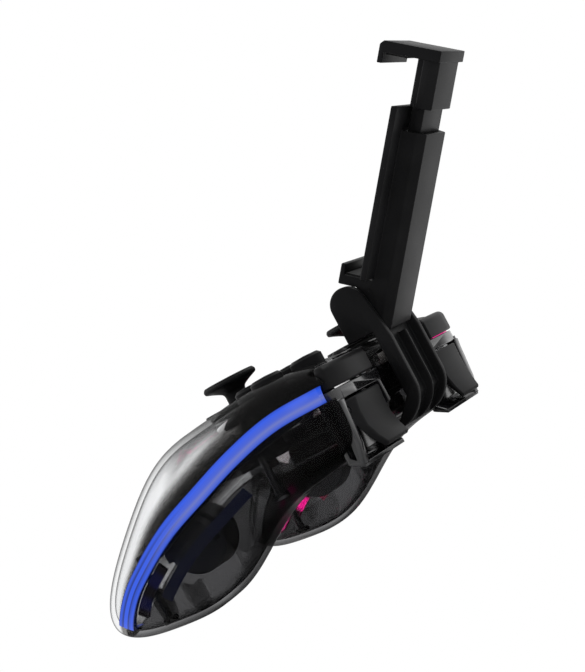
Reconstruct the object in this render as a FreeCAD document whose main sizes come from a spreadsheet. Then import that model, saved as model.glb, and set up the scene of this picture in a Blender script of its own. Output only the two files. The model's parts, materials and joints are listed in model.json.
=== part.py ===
"""Wireless gamepad with a folding spring clip.

Everything is drawn in the frame of the pad's face: X to the player's right, Y away from the
player, Z out of the face, in millimetres. At the end each piece is turned and lifted as one
rigid object, so that the two grips and the shoulder frames stand on the table plane Z = 0.
"""
import FreeCAD
import Part
import Sketcher
import math
import os

from FreeCAD import Placement, Rotation, Vector

document = FreeCAD.newDocument("gamepad")
sheet = document.addObject("Spreadsheet::Sheet", "sizes")


class Size:
    """A length that knows both its number and its formula in the sheet."""

    def __init__(self, value, formula):
        self.value = value
        self.formula = formula

    def join(self, other, sign, value):
        return Size(value, "(%s %s %s)" % (self.formula, sign, as_size(other).formula))

    def __add__(self, other):
        return self.join(other, "+", self.value + as_size(other).value)

    def __sub__(self, other):
        return self.join(other, "-", self.value - as_size(other).value)

    def __mul__(self, other):
        return self.join(other, "*", self.value * as_size(other).value)

    def __truediv__(self, other):
        return self.join(other, "/", self.value / as_size(other).value)

    def __radd__(self, other):
        return as_size(other) + self

    def __rsub__(self, other):
        return as_size(other) - self

    def __rmul__(self, other):
        return as_size(other) * self

    def __neg__(self):
        return Size(-self.value, "(0 - %s)" % self.formula)

    def __float__(self):
        return float(self.value)


def as_size(value):
    if isinstance(value, Size):
        return value
    return Size(float(value), "(%.6f)" % value if value < 0 else "%.6f" % value)


class Table:
    """Driving sizes, written once each into the sheet and read back by name."""

    row = 0

    def put(self, name, value):
        Table.row += 1
        sheet.set("A%d" % Table.row, name)
        sheet.set("B%d" % Table.row, "%.6f" % value)
        sheet.setAlias("B%d" % Table.row, name)
        setattr(self, name, Size(float(value), "<<sizes>>." + name))


size = Table()
DRIVING = {
    # body
    "half_width": 77.8, "body_front": 32.0, "body_back": -33.0, "grip_end": -71.0,
    "grip_middle": 60.0, "flank_end": -22.0, "shoulder_start": 45.0, "shoulder_drop": 37.0,
    "core_half_height": 13.9, "core_lift": 1.4, "grip_half_height": 17.4, "grip_bulge": 6.3,
    "bulge_place": -31.0, "bulge_length": 20.0, "spine_height": 1.3, "wall": 1.9,
    "core_droop": 0.04, "root_start": 8.0, "grip_droop": 0.385, "strip_width": 5.2,
    # openings at the shoulders
    "shoulder_inner": 25.5, "shoulder_outer": 66.2, "shoulder_cut": 23.2, "roof_cut": 25.2,
    # board, battery
    "board_top": -1.6, "board_thick": 1.6, "board_half": 60.0, "board_front": 22.8,
    "board_back": -28.0, "battery_wide": 50.0, "battery_deep": 25.0, "battery_thick": 4.9,
    "battery_y": 4.0,
    # thumb sticks
    "stick_right_x": 22.0, "stick_right_y": -16.2, "stick_left_x": -43.0, "stick_left_y": 6.0,
    "stick_pivot_z": 3.6, "stick_dome": 12.2, "stick_cap_r": 9.2, "stick_cap_z": 26.2, "stick_neck": 3.6,
    "stick_hole": 11.2, "ring_right_z": 16.8, "ring_left_z": 17.7, "stick_frame": 8.2,
    # buttons
    "pad_x": 45.0, "pad_y": 8.8, "pad_step": 10.2, "button_r": 5.3, "button_top": 19.8,
    "button_low": 3.9, "button_gap": 0.15, "flange": 1.0, "flange_top": 13.2,
    "flange_thick": 1.4, "menu_x": 11.5, "menu_y": 9.0, "menu_r": 2.9, "menu_top": 17.9,
    "home_y": 0.5, "home_r": 5.0, "home_top": 17.7,
    "dpad_x": -22.0, "dpad_y": -16.5, "dpad_arm": 10.5, "dpad_wide": 7.4, "dpad_top": 19.6,
    "dpad_hole": 12.2, "dpad_pivot_z": 5.7, "dpad_post_r": 1.8, "membrane_thick": 1.0, "dome_r": 3.6, "dome_top": 2.2,
    # shoulders
    "bumper_in": 32.6, "bumper_out": 65.4, "bumper_front": 32.8, "bumper_back": 26.8,
    "bumper_low": 7.2, "bumper_top": 14.6, "bumper_pin_x": 35.8, "bumper_pin_y": 29.6,
    "pin_r": 1.25, "shelf_low": 3.1, "shelf_top": 6.8, "frame_front": 31.2,
    "frame_back": 23.4, "frame_wall": 1.5, "leg_in": 61.8, "leg_out": 65.8,
    "frame_low": -13.4, "leg_back": 27.4, "trigger_in": 32.6, "trigger_out": 61.4, "trigger_top": 2.4,
    "trigger_front": 31.8, "trigger_reach": 33.6, "trigger_low": -14.6, "trigger_back": 26.2,
    "trigger_pin_y": 28.4, "trigger_pin_z": -0.6, "running": 0.06,
    # motors
    "motor_inset": 27.8, "motor_long": 11.0, "motor_r": 10.0, "motor_y": -34.0, "motor_z": -14.5,
    "shaft_r": 1.0, "weight_long": 5.0, "weight_r": 8.6, "cradle_half": 3.2,
    # clip
    "cheek_out": 17.0, "cheek_thick": 3.2, "rib_half": 0.8, "clip_front": 37.0,
    "clip_tip_y": 29.0, "clip_tip_z": 28.2, "clip_tip_r": 5.8, "clip_bend_z": 13.5,
    "clip_gap": 0.3, "clip_wall": 1.6, "clip_plate": 2.2, "clip_chamfer": 5.9,
    "clip_pivot_y": 31.6, "clip_pivot_z": 26.4, "clip_pin_r": 1.6, "clip_round": 11.4,
    "clip_skin": 1.2, "arm_angle": 50.0,
    "arm_half": 13.0, "arm_back": 10.6, "arm_end": 5.6, "arm_top": 56.4, "arm_wall": 1.9,
    "arm_bevel": 2.6, "plate_front": 0.8,
    "plate_half": 22.0, "plate_thick": 2.0, "plate_top": 63.9, "seat": 8.4, "jaw_thick": 3.2,
    "jaw_reach": 8.6, "jaw_lip": 1.6, "lip_rise": 3.4, "opening": 70.4, "slider_low": 63.8,
    "slider_gap": 0.3, "tongue_low": 26.0, "jaw_half": 14.0, "jaw_back": 11.2,
    "slider_step": 5.8, "pad_thick": 0.6,
    # lamp trays behind the light strips
    "tray_gap": 2.7, "tray_thick": 1.2, "tray_rise": 10.0, "tray_drop": 8.0, "tray_back": -52.0,
    "tray_front": 22.6, "lamp_gap": 0.4,
    # screws
    "screw_r": 1.2, "screw_head": 2.4, "boss_r": 3.3, "head_deep": 1.8,
}
for alias, number in DRIVING.items():
    size.put(alias, number)
document.recompute()

SIDES = {"right": 1, "left": -1}
pieces = {}


# Small helpers

def v(x, y, z):
    return Vector(float(x), float(y), float(z))


def bind(item, **formulas):
    for name, value in formulas.items():
        item.setExpression(name.replace("__", "."), as_size(value).formula)


def body(label):
    item = document.addObject("PartDesign::Body", label)
    pieces[label] = item
    return item


def origin_plane(item, role):
    for feature in item.Origin.OriginFeatures:
        if feature.Role == role:
            return feature
    raise ValueError(role)


def sketch_on(item, role, offset=0):
    """A sketch on an origin plane of the body, moved along the plane's normal by the offset."""
    drawing = item.newObject("Sketcher::SketchObject", item.Label + "_sketch")
    drawing.AttachmentSupport = [(origin_plane(item, role), "")]
    drawing.MapMode = "FlatFace"
    drawing.setExpression("AttachmentOffset.Base.z", as_size(offset).formula)
    return drawing


def pin_point(drawing, geometry, point, x, y):
    """Tie one point of a sketch line to the sheet, by its distances from the sketch's origin."""
    for kind, value in (("DistanceX", as_size(x)), ("DistanceY", as_size(y))):
        if abs(value.value) < 1e-9 and value.formula.startswith("0"):
            axis = -2 if kind == "DistanceX" else -1
            drawing.addConstraint(Sketcher.Constraint("PointOnObject", geometry, point, axis))
            continue
        index = drawing.addConstraint(
            Sketcher.Constraint(kind, -1, 1, geometry, point, value.value))
        drawing.setExpression("Constraints[%d]" % index, value.formula)


def polygon(drawing, points):
    """A closed outline of straight lines whose corners are all tied to the sheet."""
    first = drawing.GeometryCount
    count = len(points)
    for i in range(count):
        ax, ay = points[i]
        bx, by = points[(i + 1) % count]
        drawing.addGeometry(Part.LineSegment(v(ax, ay, 0), v(bx, by, 0)), False)
    for i in range(count):
        follower = first + (i + 1) % count
        drawing.addConstraint(Sketcher.Constraint("Coincident", first + i, 2, follower, 1))
    for i in range(count):
        pin_point(drawing, first + i, 1, *points[i])


def rectangle(drawing, x0, x1, y0, y1):
    polygon(drawing, [(x0, y0), (x1, y0), (x1, y1), (x0, y1)])


def circle(drawing, x, y, radius):
    index = drawing.addGeometry(Part.Circle(v(x, y, 0), Vector(0, 0, 1), float(radius)), False)
    pin_point(drawing, index, 3, x, y)
    ring = drawing.addConstraint(Sketcher.Constraint("Radius", index, float(radius)))
    drawing.setExpression("Constraints[%d]" % ring, as_size(radius).formula)


def pad(item, drawing, length, symmetric=False, reverse=False):
    feature = item.newObject("PartDesign::Pad", item.Label + "_pad")
    feature.Profile = drawing
    if symmetric:
        feature.SideType = "Symmetric"
    feature.Reversed = reverse
    feature.Length = float(length)
    bind(feature, Length=length)
    document.recompute()
    return feature


def pocket(item, drawing, length, symmetric=False, reverse=False):
    feature = item.newObject("PartDesign::Pocket", item.Label + "_pocket")
    feature.Profile = drawing
    if symmetric:
        feature.SideType = "Symmetric"
    feature.Reversed = reverse
    feature.Length = float(length)
    bind(feature, Length=length)
    document.recompute()
    return feature


def revolve(item, drawing):
    """Turn a sketch drawn on the XZ plane once round the body's own Z axis."""
    feature = item.newObject("PartDesign::Revolution", item.Label + "_turn")
    feature.Profile = drawing
    feature.ReferenceAxis = (drawing, ["V_Axis"])
    feature.Angle = 360
    document.recompute()
    return feature


def edges_where(shape, test):
    """Names of the straight edges whose middle and direction pass the test."""
    names = []
    for number, edge in enumerate(shape.Edges, 1):
        ends = [vertex.Point for vertex in edge.Vertexes]
        if len(ends) == 2:
            middle = (ends[0] + ends[1]) * 0.5
            if test(middle, ends[1] - ends[0]):
                names.append("Edge%d" % number)
    return names


def fillet(item, radius, test):
    base = item.Tip
    names = edges_where(base.Shape, test)
    if not names:
        raise ValueError("no edge to round on " + item.Label)
    feature = item.newObject("PartDesign::Fillet", item.Label + "_round")
    feature.Base = (base, names)
    feature.Radius = float(radius)
    bind(feature, Radius=radius)
    document.recompute()
    return feature


def near(a, b):
    return abs(float(a) - float(b)) < 0.02


def solid_piece(label, shape):
    """A piece whose surface no pad or revolution makes, kept as one plain feature."""
    item = document.addObject("Part::Feature", label)
    item.Shape = shape
    pieces[label] = item
    return item


# The body's own form

def smooth(value):
    value = min(max(value, 0.0), 1.0)
    return value * value * (3.0 - 2.0 * value)


class Form:
    """Outer form of the pad less an even inset: closed YZ sections along X.

    Each section is a rounded rectangle bent along a spine that droops towards the grips.
    """

    def __init__(self, inset=0.0):
        self.inset = inset
        self.width = size.half_width.value - inset

    def front(self, x):
        start = size.shoulder_start.value
        share = min(max((x - start) / (self.width - start), 0.0), 1.0)
        drop = size.shoulder_drop.value * (1.0 - math.sqrt(max(1.0 - share ** 5.2, 0.0)))
        return size.body_front.value - self.inset - drop

    def back(self, x):
        end = size.grip_end.value + self.inset
        middle = size.grip_middle.value
        if x >= middle:
            share = min((x - middle) / (self.width - middle), 1.0)
            depth = size.flank_end.value - size.grip_end.value
            return end + depth * (1.0 - math.sqrt(max(1.0 - share ** 2.4, 0.0)))
        start = size.root_start.value + self.inset
        share = max((x - start) / (middle - start), 0.0) ** 1.25
        back = size.body_back.value + self.inset
        return back + (end - back) * smooth(share)

    def blend(self, x):
        return smooth((x - 18.0) / 32.0)

    def spine(self, y, x):
        core = size.core_droop.value
        slope = core + (size.grip_droop.value - core) * self.blend(x)
        lift = size.core_lift.value * (1.0 - self.blend(x))
        return size.spine_height.value + lift - slope * 5.0 * math.log1p(math.exp(-y / 5.0))

    def half_height(self, y, x):
        far = (y - size.bulge_place.value) / size.bulge_length.value
        core = size.core_half_height.value
        grip = size.grip_half_height.value + size.grip_bulge.value * math.exp(-far * far)
        height = core + (grip - core) * self.blend(x) - self.inset
        share = min(max((x - 58.0) / (self.width + 0.3 - 58.0), 0.0), 1.0)
        return height * math.sqrt(1.0 - share ** 2.4)

    def point(self, x, angle):
        across = abs(x)
        front = self.front(across)
        back = self.back(across)
        cosine = math.cos(angle)
        sine = math.sin(angle)
        core = 1.0 - self.blend(across)
        power = 2.0 / (3.1 + cosine + core * (0.9 - 0.6 * cosine))
        reach = math.copysign(abs(cosine) ** power, cosine)
        rise = math.copysign(abs(sine) ** power, sine)
        y = (front + back) / 2.0 + (front - back) / 2.0 * reach
        z = self.spine(y, across) + self.half_height(y, across) * rise
        return Vector(x, y, z)

    def section(self, x, count=28):
        """One closed section as a periodic curve, with the same parameters at every station."""
        angles = [2.0 * math.pi * i / count for i in range(count)]
        ring = Part.BSplineCurve()
        ring.interpolate(Points=[self.point(x, a) for a in angles], PeriodicFlag=True,
                         Parameters=[float(i) for i in range(count + 1)])
        return ring

    def solid(self):
        """The sections' poles are themselves interpolated along X, so the skin is smooth."""
        end = self.width - 0.1
        shares = [0.0, 0.13, 0.24, 0.34, 0.43, 0.52, 0.61, 0.70, 0.78, 0.85, 0.91, 0.955, 0.985, 1.0]
        stations = sorted({s * end for s in shares} | {-s * end for s in shares})
        rings = [self.section(x) for x in stations]
        rows = [ring.getPoles() for ring in rings]
        columns = []
        for j in range(len(rows[0])):
            along = Part.BSplineCurve()
            along.interpolate(Points=[row[j] for row in rows], Parameters=stations)
            columns.append(along.getPoles())
        grid = [[column[i] for column in columns] for i in range(len(columns[0]))]
        ring = rings[0]
        skin = Part.BSplineSurface()
        skin.buildFromPolesMultsKnots(grid, along.getMultiplicities(), ring.getMultiplicities(),
                                      along.getKnots(), ring.getKnots(), False, True,
                                      along.Degree, ring.Degree)
        side = skin.toShape()
        ends = [e for e in side.Edges if e.isClosed() and e.BoundBox.XLength < 0.01]
        shell = Part.makeShell([side] + [Part.Face(Part.Wire([e])) for e in ends])
        shell.sewShape(1e-5)
        result = Part.makeSolid(shell)
        if result.Volume < 0:
            result.reverse()
        return result

    def height(self, x, y, side):
        """Height of the upper (side 1) or lower (side -1) surface over a place."""
        across = abs(x)
        low = 0.0
        high = math.pi
        for _ in range(50):
            middle = (low + high) / 2.0
            if self.point(across, middle).y > y:
                low = middle
            else:
                high = middle
        rise = self.point(across, side * low).z
        return rise


outer = Form()
inner = Form(size.wall.value)
outer_solid = outer.solid()
inner_solid = inner.solid()
shell_wall = outer_solid.cut(inner_solid)

# The seam, seen from the side: it carries the light strip from the shoulder to the grip's end
SEAM = [(60.0, 6.4), (27.0, 6.9), (12.7, 6.4), (-3.0, 2.9), (-18.0, -2.0), (-34.0, -7.8),
        (-46.0, -14.0), (-55.0, -19.6), (-63.0, -26.6), (-74.0, -39.0)]
BIG = 200.0


def seam_curve(lift=0.0):
    """The seam as one curve, moved square to itself by the lift."""
    points = []
    for i, (y, z) in enumerate(SEAM):
        before = SEAM[max(i - 1, 0)]
        after = SEAM[min(i + 1, len(SEAM) - 1)]
        run = math.hypot(after[0] - before[0], after[1] - before[1])
        normal_y = (after[1] - before[1]) / run
        normal_z = -(after[0] - before[0]) / run
        points.append(Vector(-BIG, y + normal_y * lift, z + normal_z * lift))
    curve = Part.BSplineCurve()
    curve.interpolate(points)
    return curve


def seam_height(y):
    """Height of the seam at one distance from the player, found on its own curve."""
    curve = seam_curve()
    low = curve.FirstParameter
    high = curve.LastParameter
    for _ in range(50):
        middle = (low + high) / 2.0
        if curve.value(middle).y > y:
            low = middle
        else:
            high = middle
    return curve.value(low).z


def above_seam(lift=0.0):
    """Everything above the seam curve moved up by the lift."""
    curve = seam_curve(lift)
    start = curve.StartPoint
    end = curve.EndPoint
    corners = [end, Vector(-BIG, end.y - BIG, end.z), Vector(-BIG, end.y - BIG, BIG),
               Vector(-BIG, start.y, BIG), start]
    lines = [Part.makeLine(corners[i], corners[i + 1]) for i in range(4)]
    outline = Part.Wire([curve.toShape()] + lines)
    return Part.Face(outline).extrude(Vector(2.0 * BIG, 0, 0))


def block(x0, x1, y0, y1, z0, z1):
    low = v(min(float(x0), float(x1)), y0, z0)
    return Part.makeBox(abs(float(x1) - float(x0)), float(y1) - float(y0), float(z1) - float(z0), low)


def post(x, y, radius, z0, z1):
    return Part.makeCylinder(float(radius), float(z1) - float(z0), v(x, y, z0), Vector(0, 0, 1))


seam_band = above_seam(-size.strip_width.value / 2.0).cut(above_seam(size.strip_width.value / 2.0))


def flank(side):
    """The outer side of one grip, where the light strip shows."""
    wide = size.half_width.value - 25.8
    narrow = size.half_width.value - 15.8
    end = size.grip_end.value + 6.5
    line = [(wide, 60), (wide, -20), (narrow, end), (BIG, end), (BIG, 60)]
    points = [Vector(side * x, y, -BIG) for x, y in line]
    face = Part.Face(Part.makePolygon(points + points[:1]))
    return face.extrude(Vector(0, 0, 2.0 * BIG))


GRIP_SCREW = size.half_width.value - 16.8
FLANK_SCREW = size.half_width.value - 12.8
SCREWS = [(GRIP_SCREW, -53.5), (-GRIP_SCREW, -53.5), (FLANK_SCREW, 0.0), (-FLANK_SCREW, 0.0),
          (0.0, -17.0)]


def shoulder_openings():
    cut_in = size.shoulder_inner.value
    cut_out = size.shoulder_outer.value
    boxes = []
    for side in SIDES.values():
        x0, x1 = sorted((side * cut_in, side * cut_out))
        boxes.append(block(x0, x1, size.shoulder_cut, BIG, -BIG, size.bumper_top - 2.0))
        boxes.append(block(x0, x1, size.roof_cut, BIG, 0.0, BIG))
    return boxes


motor_x = size.half_width - size.motor_inset


def make_shells():
    upper_space = above_seam()
    band_right = seam_band.common(flank(1))
    band_left = seam_band.common(flank(-1))
    top = shell_wall.common(upper_space)
    bottom = shell_wall.cut(upper_space)
    for x, y in SCREWS:
        split = seam_height(y)
        tube = post(x, y, size.boss_r, split, BIG).common(outer_solid)
        top = top.fuse(tube)
        tube = post(x, y, size.boss_r, -BIG, split).common(outer_solid)
        bottom = bottom.fuse(tube)
    for side in SIDES.values():
        x0, x1 = sorted((side * motor_x.value, side * (motor_x + size.motor_long).value))
        cradle = block(x0 + 1.0, x1 - 1.0,
                       size.motor_y - size.cradle_half, size.motor_y + size.cradle_half, -60.0,
                       size.motor_z)
        bottom = bottom.fuse(cradle.common(outer_solid))
    cuts_top = shoulder_openings() + [band_right, band_left]
    cuts_bottom = shoulder_openings() + [band_right, band_left]
    for name, (x, y) in {"right": (size.stick_right_x, size.stick_right_y),
                         "left": (size.stick_left_x, size.stick_left_y)}.items():
        cuts_top.append(post(x, y, size.stick_hole, 8.0, 40.0))
        ring_z = size.ring_right_z if name == "right" else size.ring_left_z
        cuts_top.append(post(x, y, size.stick_hole + 1.3, ring_z - 0.02, 40.0))
    cuts_top.append(post(size.dpad_x, size.dpad_y, size.dpad_hole, 10.0, 40.0))
    hole = size.button_r.value + size.button_gap.value
    for dx, dy in ((1, 0), (-1, 0), (0, 1), (0, -1)):
        cuts_top.append(post(size.pad_x + dx * size.pad_step, size.pad_y + dy * size.pad_step,
                             hole, 10.0, 40.0))
    for side in SIDES.values():
        cuts_top.append(post(side * size.menu_x, size.menu_y,
                             size.menu_r + size.button_gap, 10.0, 40.0))
    cuts_top.append(post(0, size.home_y, size.home_r + size.button_gap, 10.0, 40.0))
    under = size.board_top.value - size.board_thick.value
    socket_mouth = block(-4.6, 4.6, size.body_back - 5.0, size.body_back + 8.0,
                         under - 3.4, under + 0.2)
    cuts_bottom.append(socket_mouth)
    cuts_top.append(socket_mouth)
    for x, y in SCREWS:
        split = seam_height(y)
        cuts_top.append(post(x, y, size.screw_r.value + 0.02, split - 1.0, split + 9.0))
        cuts_bottom.append(post(x, y, size.screw_r.value + 0.3, -BIG, split + 1.0))
        floor = outer.height(x, y, -1)
        cuts_bottom.append(post(x, y, size.screw_head.value + 0.2, -BIG, floor + 4.0))
    motor_space = []
    for side in SIDES.values():
        start = v(side * (motor_x.value - 5.0), size.motor_y, size.motor_z)
        motor_space.append(Part.makeCylinder(size.motor_r.value + 0.2, 30.0, start,
                                             Vector(side, 0, 0)))
    cuts_bottom += motor_space
    solid_piece("top_shell", largest(top.cut(cuts_top)))
    solid_piece("bottom_shell", largest(bottom.cut(cuts_bottom)))
    solid_piece("light_guide_right", largest(shell_wall.common(band_right).cut(shoulder_openings())))
    solid_piece("light_guide_left", largest(shell_wall.common(band_left).cut(shoulder_openings())))


def largest(shape):
    """The main solid of a shape, without the slivers that a cut can leave."""
    solids = sorted(shape.Solids, key=lambda solid: solid.Volume)
    return solids[-1].removeSplitter()


def make_screws():
    screws = []
    for x, y in SCREWS:
        seat = outer.height(x, y, -1) + 4.0
        top = seam_height(y) + 8.0
        head = post(x, y, size.screw_head, seat - size.head_deep.value, seat)
        screws.append(head.fuse(post(x, y, size.screw_r, seat, top)))
    solid_piece("case_screws", Part.makeCompound([screw.removeSplitter() for screw in screws]))


# Inside the pad

def make_board():
    board = body("main_board")
    drawing = sketch_on(board, "XY_Plane", size.board_top - size.board_thick)
    half = size.board_half
    polygon(drawing, [(-half, size.board_front), (half, size.board_front), (half, -10),
                      (half - 28, size.board_back), (-half + 28, size.board_back), (-half, -10)])
    pad(board, drawing, size.board_thick)
    holes = sketch_on(board, "XY_Plane", size.board_top)
    circle(holes, 0, SCREWS[4][1], size.boss_r + 0.4)
    for x, y in SCREWS[2:4]:
        if abs(x) - size.boss_r.value - 0.4 < half.value:
            circle(holes, x, y, size.boss_r + 0.4)
    pocket(board, holes, size.board_thick)
    battery = body("battery")
    drawing = sketch_on(battery, "XY_Plane", size.board_top - size.board_thick
                        - size.battery_thick - 0.4)
    rectangle(drawing, -(size.battery_wide / 2), size.battery_wide / 2,
              size.battery_y - size.battery_deep / 2, size.battery_y + size.battery_deep / 2)
    pad(battery, drawing, size.battery_thick)
    fillet(battery, 1.6, lambda m, d: abs(d.x) < 0.01 and abs(d.z) < 0.01)
    socket = body("charging_socket")
    drawing = sketch_on(socket, "XZ_Plane", -(size.body_back + 0.6))
    under = size.board_top - size.board_thick
    rectangle(drawing, -4.4, 4.4, under - 3.2, under)
    pad(socket, drawing, 7.0, reverse=True)
    fillet(socket, 1.3, lambda m, d: abs(d.x) < 0.01 and abs(d.z) < 0.01)
    slot = sketch_on(socket, "XZ_Plane", -(size.body_back + 0.6))
    rectangle(slot, -3.6, 3.6, under - 2.5, under - 0.7)
    pocket(socket, slot, 5.5)


def make_motor(name, side):
    motor = body("motor_" + name)
    place = Placement(v(side * motor_x, size.motor_y, size.motor_z),
                      Rotation(Vector(0, 1, 0), 90.0 * side))
    drawing = sketch_on(motor, "XY_Plane")
    circle(drawing, 0, 0, size.motor_r)
    pad(motor, drawing, size.motor_long)
    boss = sketch_on(motor, "XY_Plane", size.motor_long)
    circle(boss, 0, 0, size.shaft_r)
    pad(motor, boss, size.weight_long + 1.2)
    weight = body("motor_weight_" + name)
    drawing = sketch_on(weight, "XY_Plane", size.motor_long + 0.6)
    circle(drawing, 0, 0, size.weight_r)
    pad(weight, drawing, size.weight_long)
    cut = sketch_on(weight, "XY_Plane", size.motor_long + 0.6)
    rectangle(cut, size.shaft_r + 1.2, size.weight_r + 1, -(size.weight_r + 1), size.weight_r + 1)
    pocket(weight, cut, size.weight_long, reverse=True)
    hole = sketch_on(weight, "XY_Plane", size.motor_long + 0.6)
    circle(hole, 0, 0, size.shaft_r + size.running)
    pocket(weight, hole, size.weight_long, reverse=True)
    return {"motor_" + name: place, "motor_weight_" + name: place}


def make_stick(name, x, y):
    """Gimbal frame, outer yoke, pivot block and the cap with its hidden dome."""
    pivot = size.stick_pivot_z
    half = size.stick_frame
    frame = body("stick_module_" + name)
    drawing = sketch_on(frame, "XY_Plane", size.board_top)
    rectangle(drawing, -half, half, -half, half)
    pad(frame, drawing, pivot - size.board_top + 2.6)
    inside = sketch_on(frame, "XY_Plane", size.board_top + 1.2)
    rectangle(inside, -(half - 1.4), half - 1.4, -(half - 1.4), half - 1.4)
    pocket(frame, inside, 20, reverse=True)
    bores = sketch_on(frame, "YZ_Plane")
    circle(bores, 0, pivot, 1.2 + size.running)
    pocket(frame, bores, 60, symmetric=True)
    yoke = body("stick_yoke_" + name)
    drawing = sketch_on(yoke, "XY_Plane", pivot - 1.6)
    rectangle(drawing, -(half - 1.9), half - 1.9, -4.4, 4.4)
    pad(yoke, drawing, 3.2)
    opening = sketch_on(yoke, "XY_Plane", pivot - 1.6)
    rectangle(opening, -(half - 3.4), half - 3.4, -3.0, 3.0)
    pocket(yoke, opening, 10, symmetric=True)
    pins = sketch_on(yoke, "YZ_Plane", half - 2.2)
    circle(pins, 0, pivot, 1.2)
    pad(yoke, pins, 2.0)
    pins = sketch_on(yoke, "YZ_Plane", -(half - 2.2))
    circle(pins, 0, pivot, 1.2)
    pad(yoke, pins, 2.0, reverse=True)
    cross = sketch_on(yoke, "XZ_Plane")
    circle(cross, 0, pivot, 0.8 + size.running)
    pocket(yoke, cross, 30, symmetric=True)
    block_piece = body("stick_pivot_" + name)
    drawing = sketch_on(block_piece, "XY_Plane", pivot - 2.2)
    rectangle(drawing, -2.5, 2.5, -2.5, 2.5)
    pad(block_piece, drawing, 4.4)
    axle = sketch_on(block_piece, "XZ_Plane")
    circle(axle, 0, pivot, 0.8)
    pad(block_piece, axle, 8.6, symmetric=True)
    bore = sketch_on(block_piece, "XY_Plane", pivot)
    circle(bore, 0, 0, 1.4 + size.running)
    pocket(block_piece, bore, 20, symmetric=True)
    cap = body("stick_cap_" + name)
    drawing = sketch_on(cap, "XZ_Plane")
    top = size.stick_cap_z
    dome = size.stick_dome
    neck = size.stick_neck
    outline = [(0, pivot - 1.2), (1.4, pivot - 1.2), (1.4, pivot + 5.0), (3.4, pivot + 5.0),
               (3.4, pivot + dome - 1.9), (6.4, pivot + dome - 3.0), (8.5, pivot + dome - 4.9),
               (9.2, pivot + dome - 4.2), (7.2, pivot + dome - 2.2), (neck, pivot + dome - 1.0),
               (neck, top - 4.0),
               (size.stick_cap_r - 1.2, top - 2.7), (size.stick_cap_r, top - 1.9),
               (size.stick_cap_r, top - 0.9), (size.stick_cap_r - 1.0, top),
               (size.stick_cap_r - 2.0, top - 0.1), (size.stick_cap_r - 3.4, top - 1.1),
               (0, top - 1.5)]
    polygon(drawing, outline)
    revolve(cap, drawing)
    place = Placement(v(x, y, 0), Rotation())
    names = ["stick_module_", "stick_yoke_", "stick_pivot_", "stick_cap_"]
    return {prefix + name: place for prefix in names}


def make_stick_ring(name, x, y, face):
    ring = body("stick_ring_" + name)
    drawing = sketch_on(ring, "XZ_Plane")
    hole = size.stick_hole
    polygon(drawing, [(hole - 1.1, face - 2.2), (hole - 0.1, face - 2.2), (hole - 0.1, face),
                      (hole + 1.2, face), (hole + 1.0, face + 0.8), (hole - 0.1, face + 0.8),
                      (hole - 1.1, face - 0.3)])
    revolve(ring, drawing)
    return {"stick_ring_" + name: Placement(v(x, y, 0), Rotation())}


def make_button(label, x, y, radius, top, low):
    """A round push button that hangs by its flange under the shell."""
    button = body(label)
    drawing = sketch_on(button, "XZ_Plane")
    flange = radius + size.flange
    high = size.flange_top
    polygon(drawing, [(0, low), (radius - 1.6, low), (radius - 1.6, high - size.flange_thick),
                      (flange, high - size.flange_thick), (flange, high), (radius, high),
                      (radius, top - 1.0), (radius - 1.0, top - 0.1), (0, top + 0.15)])
    revolve(button, drawing)
    return {label: Placement(v(x, y, 0), Rotation())}


def make_dpad():
    cap = body("dpad_cap")
    arm = size.dpad_arm
    half = size.dpad_wide / 2
    drawing = sketch_on(cap, "XY_Plane", size.dpad_top - 4.2)
    polygon(drawing, [(arm, -half), (arm, half), (half, half), (half, arm), (-half, arm),
                      (-half, half), (-arm, half), (-arm, -half), (-half, -half), (-half, -arm),
                      (half, -arm), (half, -half)])
    pad(cap, drawing, 4.2)
    disc = sketch_on(cap, "XY_Plane", size.dpad_top - 6.2)
    circle(disc, 0, 0, size.dpad_hole - 1.1)
    pad(cap, disc, 2.2)
    stem = sketch_on(cap, "XY_Plane", size.dpad_pivot_z + 1.15)
    circle(stem, 0, 0, size.dpad_post_r)
    pad(cap, stem, size.dpad_top - 6.0 - size.dpad_pivot_z - 1.15)
    fillet(cap, 0.8, lambda m, d: near(m.z, size.dpad_top) and abs(d.z) < 0.01)
    pivot = body("dpad_pivot")
    for plane in ("YZ_Plane", "XZ_Plane"):
        rod = sketch_on(pivot, plane)
        circle(rod, 0, size.dpad_pivot_z, 1.0)
        pad(pivot, rod, size.dpad_post_r * 2, symmetric=True)
    base = body("dpad_base")
    drawing = sketch_on(base, "XY_Plane", size.board_top)
    circle(drawing, 0, 0, size.dpad_post_r + 0.8)
    pad(base, drawing, size.dpad_pivot_z - 1.15 - size.board_top)
    place = Placement(v(size.dpad_x, size.dpad_y, 0), Rotation())
    return {"dpad_cap": place, "dpad_pivot": place, "dpad_base": place}


def make_membrane(label, centres, x0, x1, y0, y1):
    """A rubber sheet with one dome under each button."""
    sheet_piece = body(label)
    drawing = sketch_on(sheet_piece, "XY_Plane", size.board_top)
    rectangle(drawing, x0, x1, y0, y1)
    pad(sheet_piece, drawing, size.membrane_thick)
    domes = sketch_on(sheet_piece, "XY_Plane", size.board_top + size.membrane_thick)
    for x, y in centres:
        circle(domes, x, y, size.dome_r)
    pad(sheet_piece, domes, size.dome_top - size.board_top - size.membrane_thick)


# Shoulders: drawn for the right side, mirrored for the left

def plan_outline(drawing, x_in, x_out, y_back, y_front, drop):
    """Plan of a shoulder piece: straight near the middle, falling back at its outer corner."""
    polygon(drawing, [(x_in, y_back), (x_out, y_back), (x_out, y_front - drop),
                      (x_out - 4.6, y_front - drop * 0.34), (x_out - 12.5, y_front),
                      (x_in, y_front)])


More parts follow.
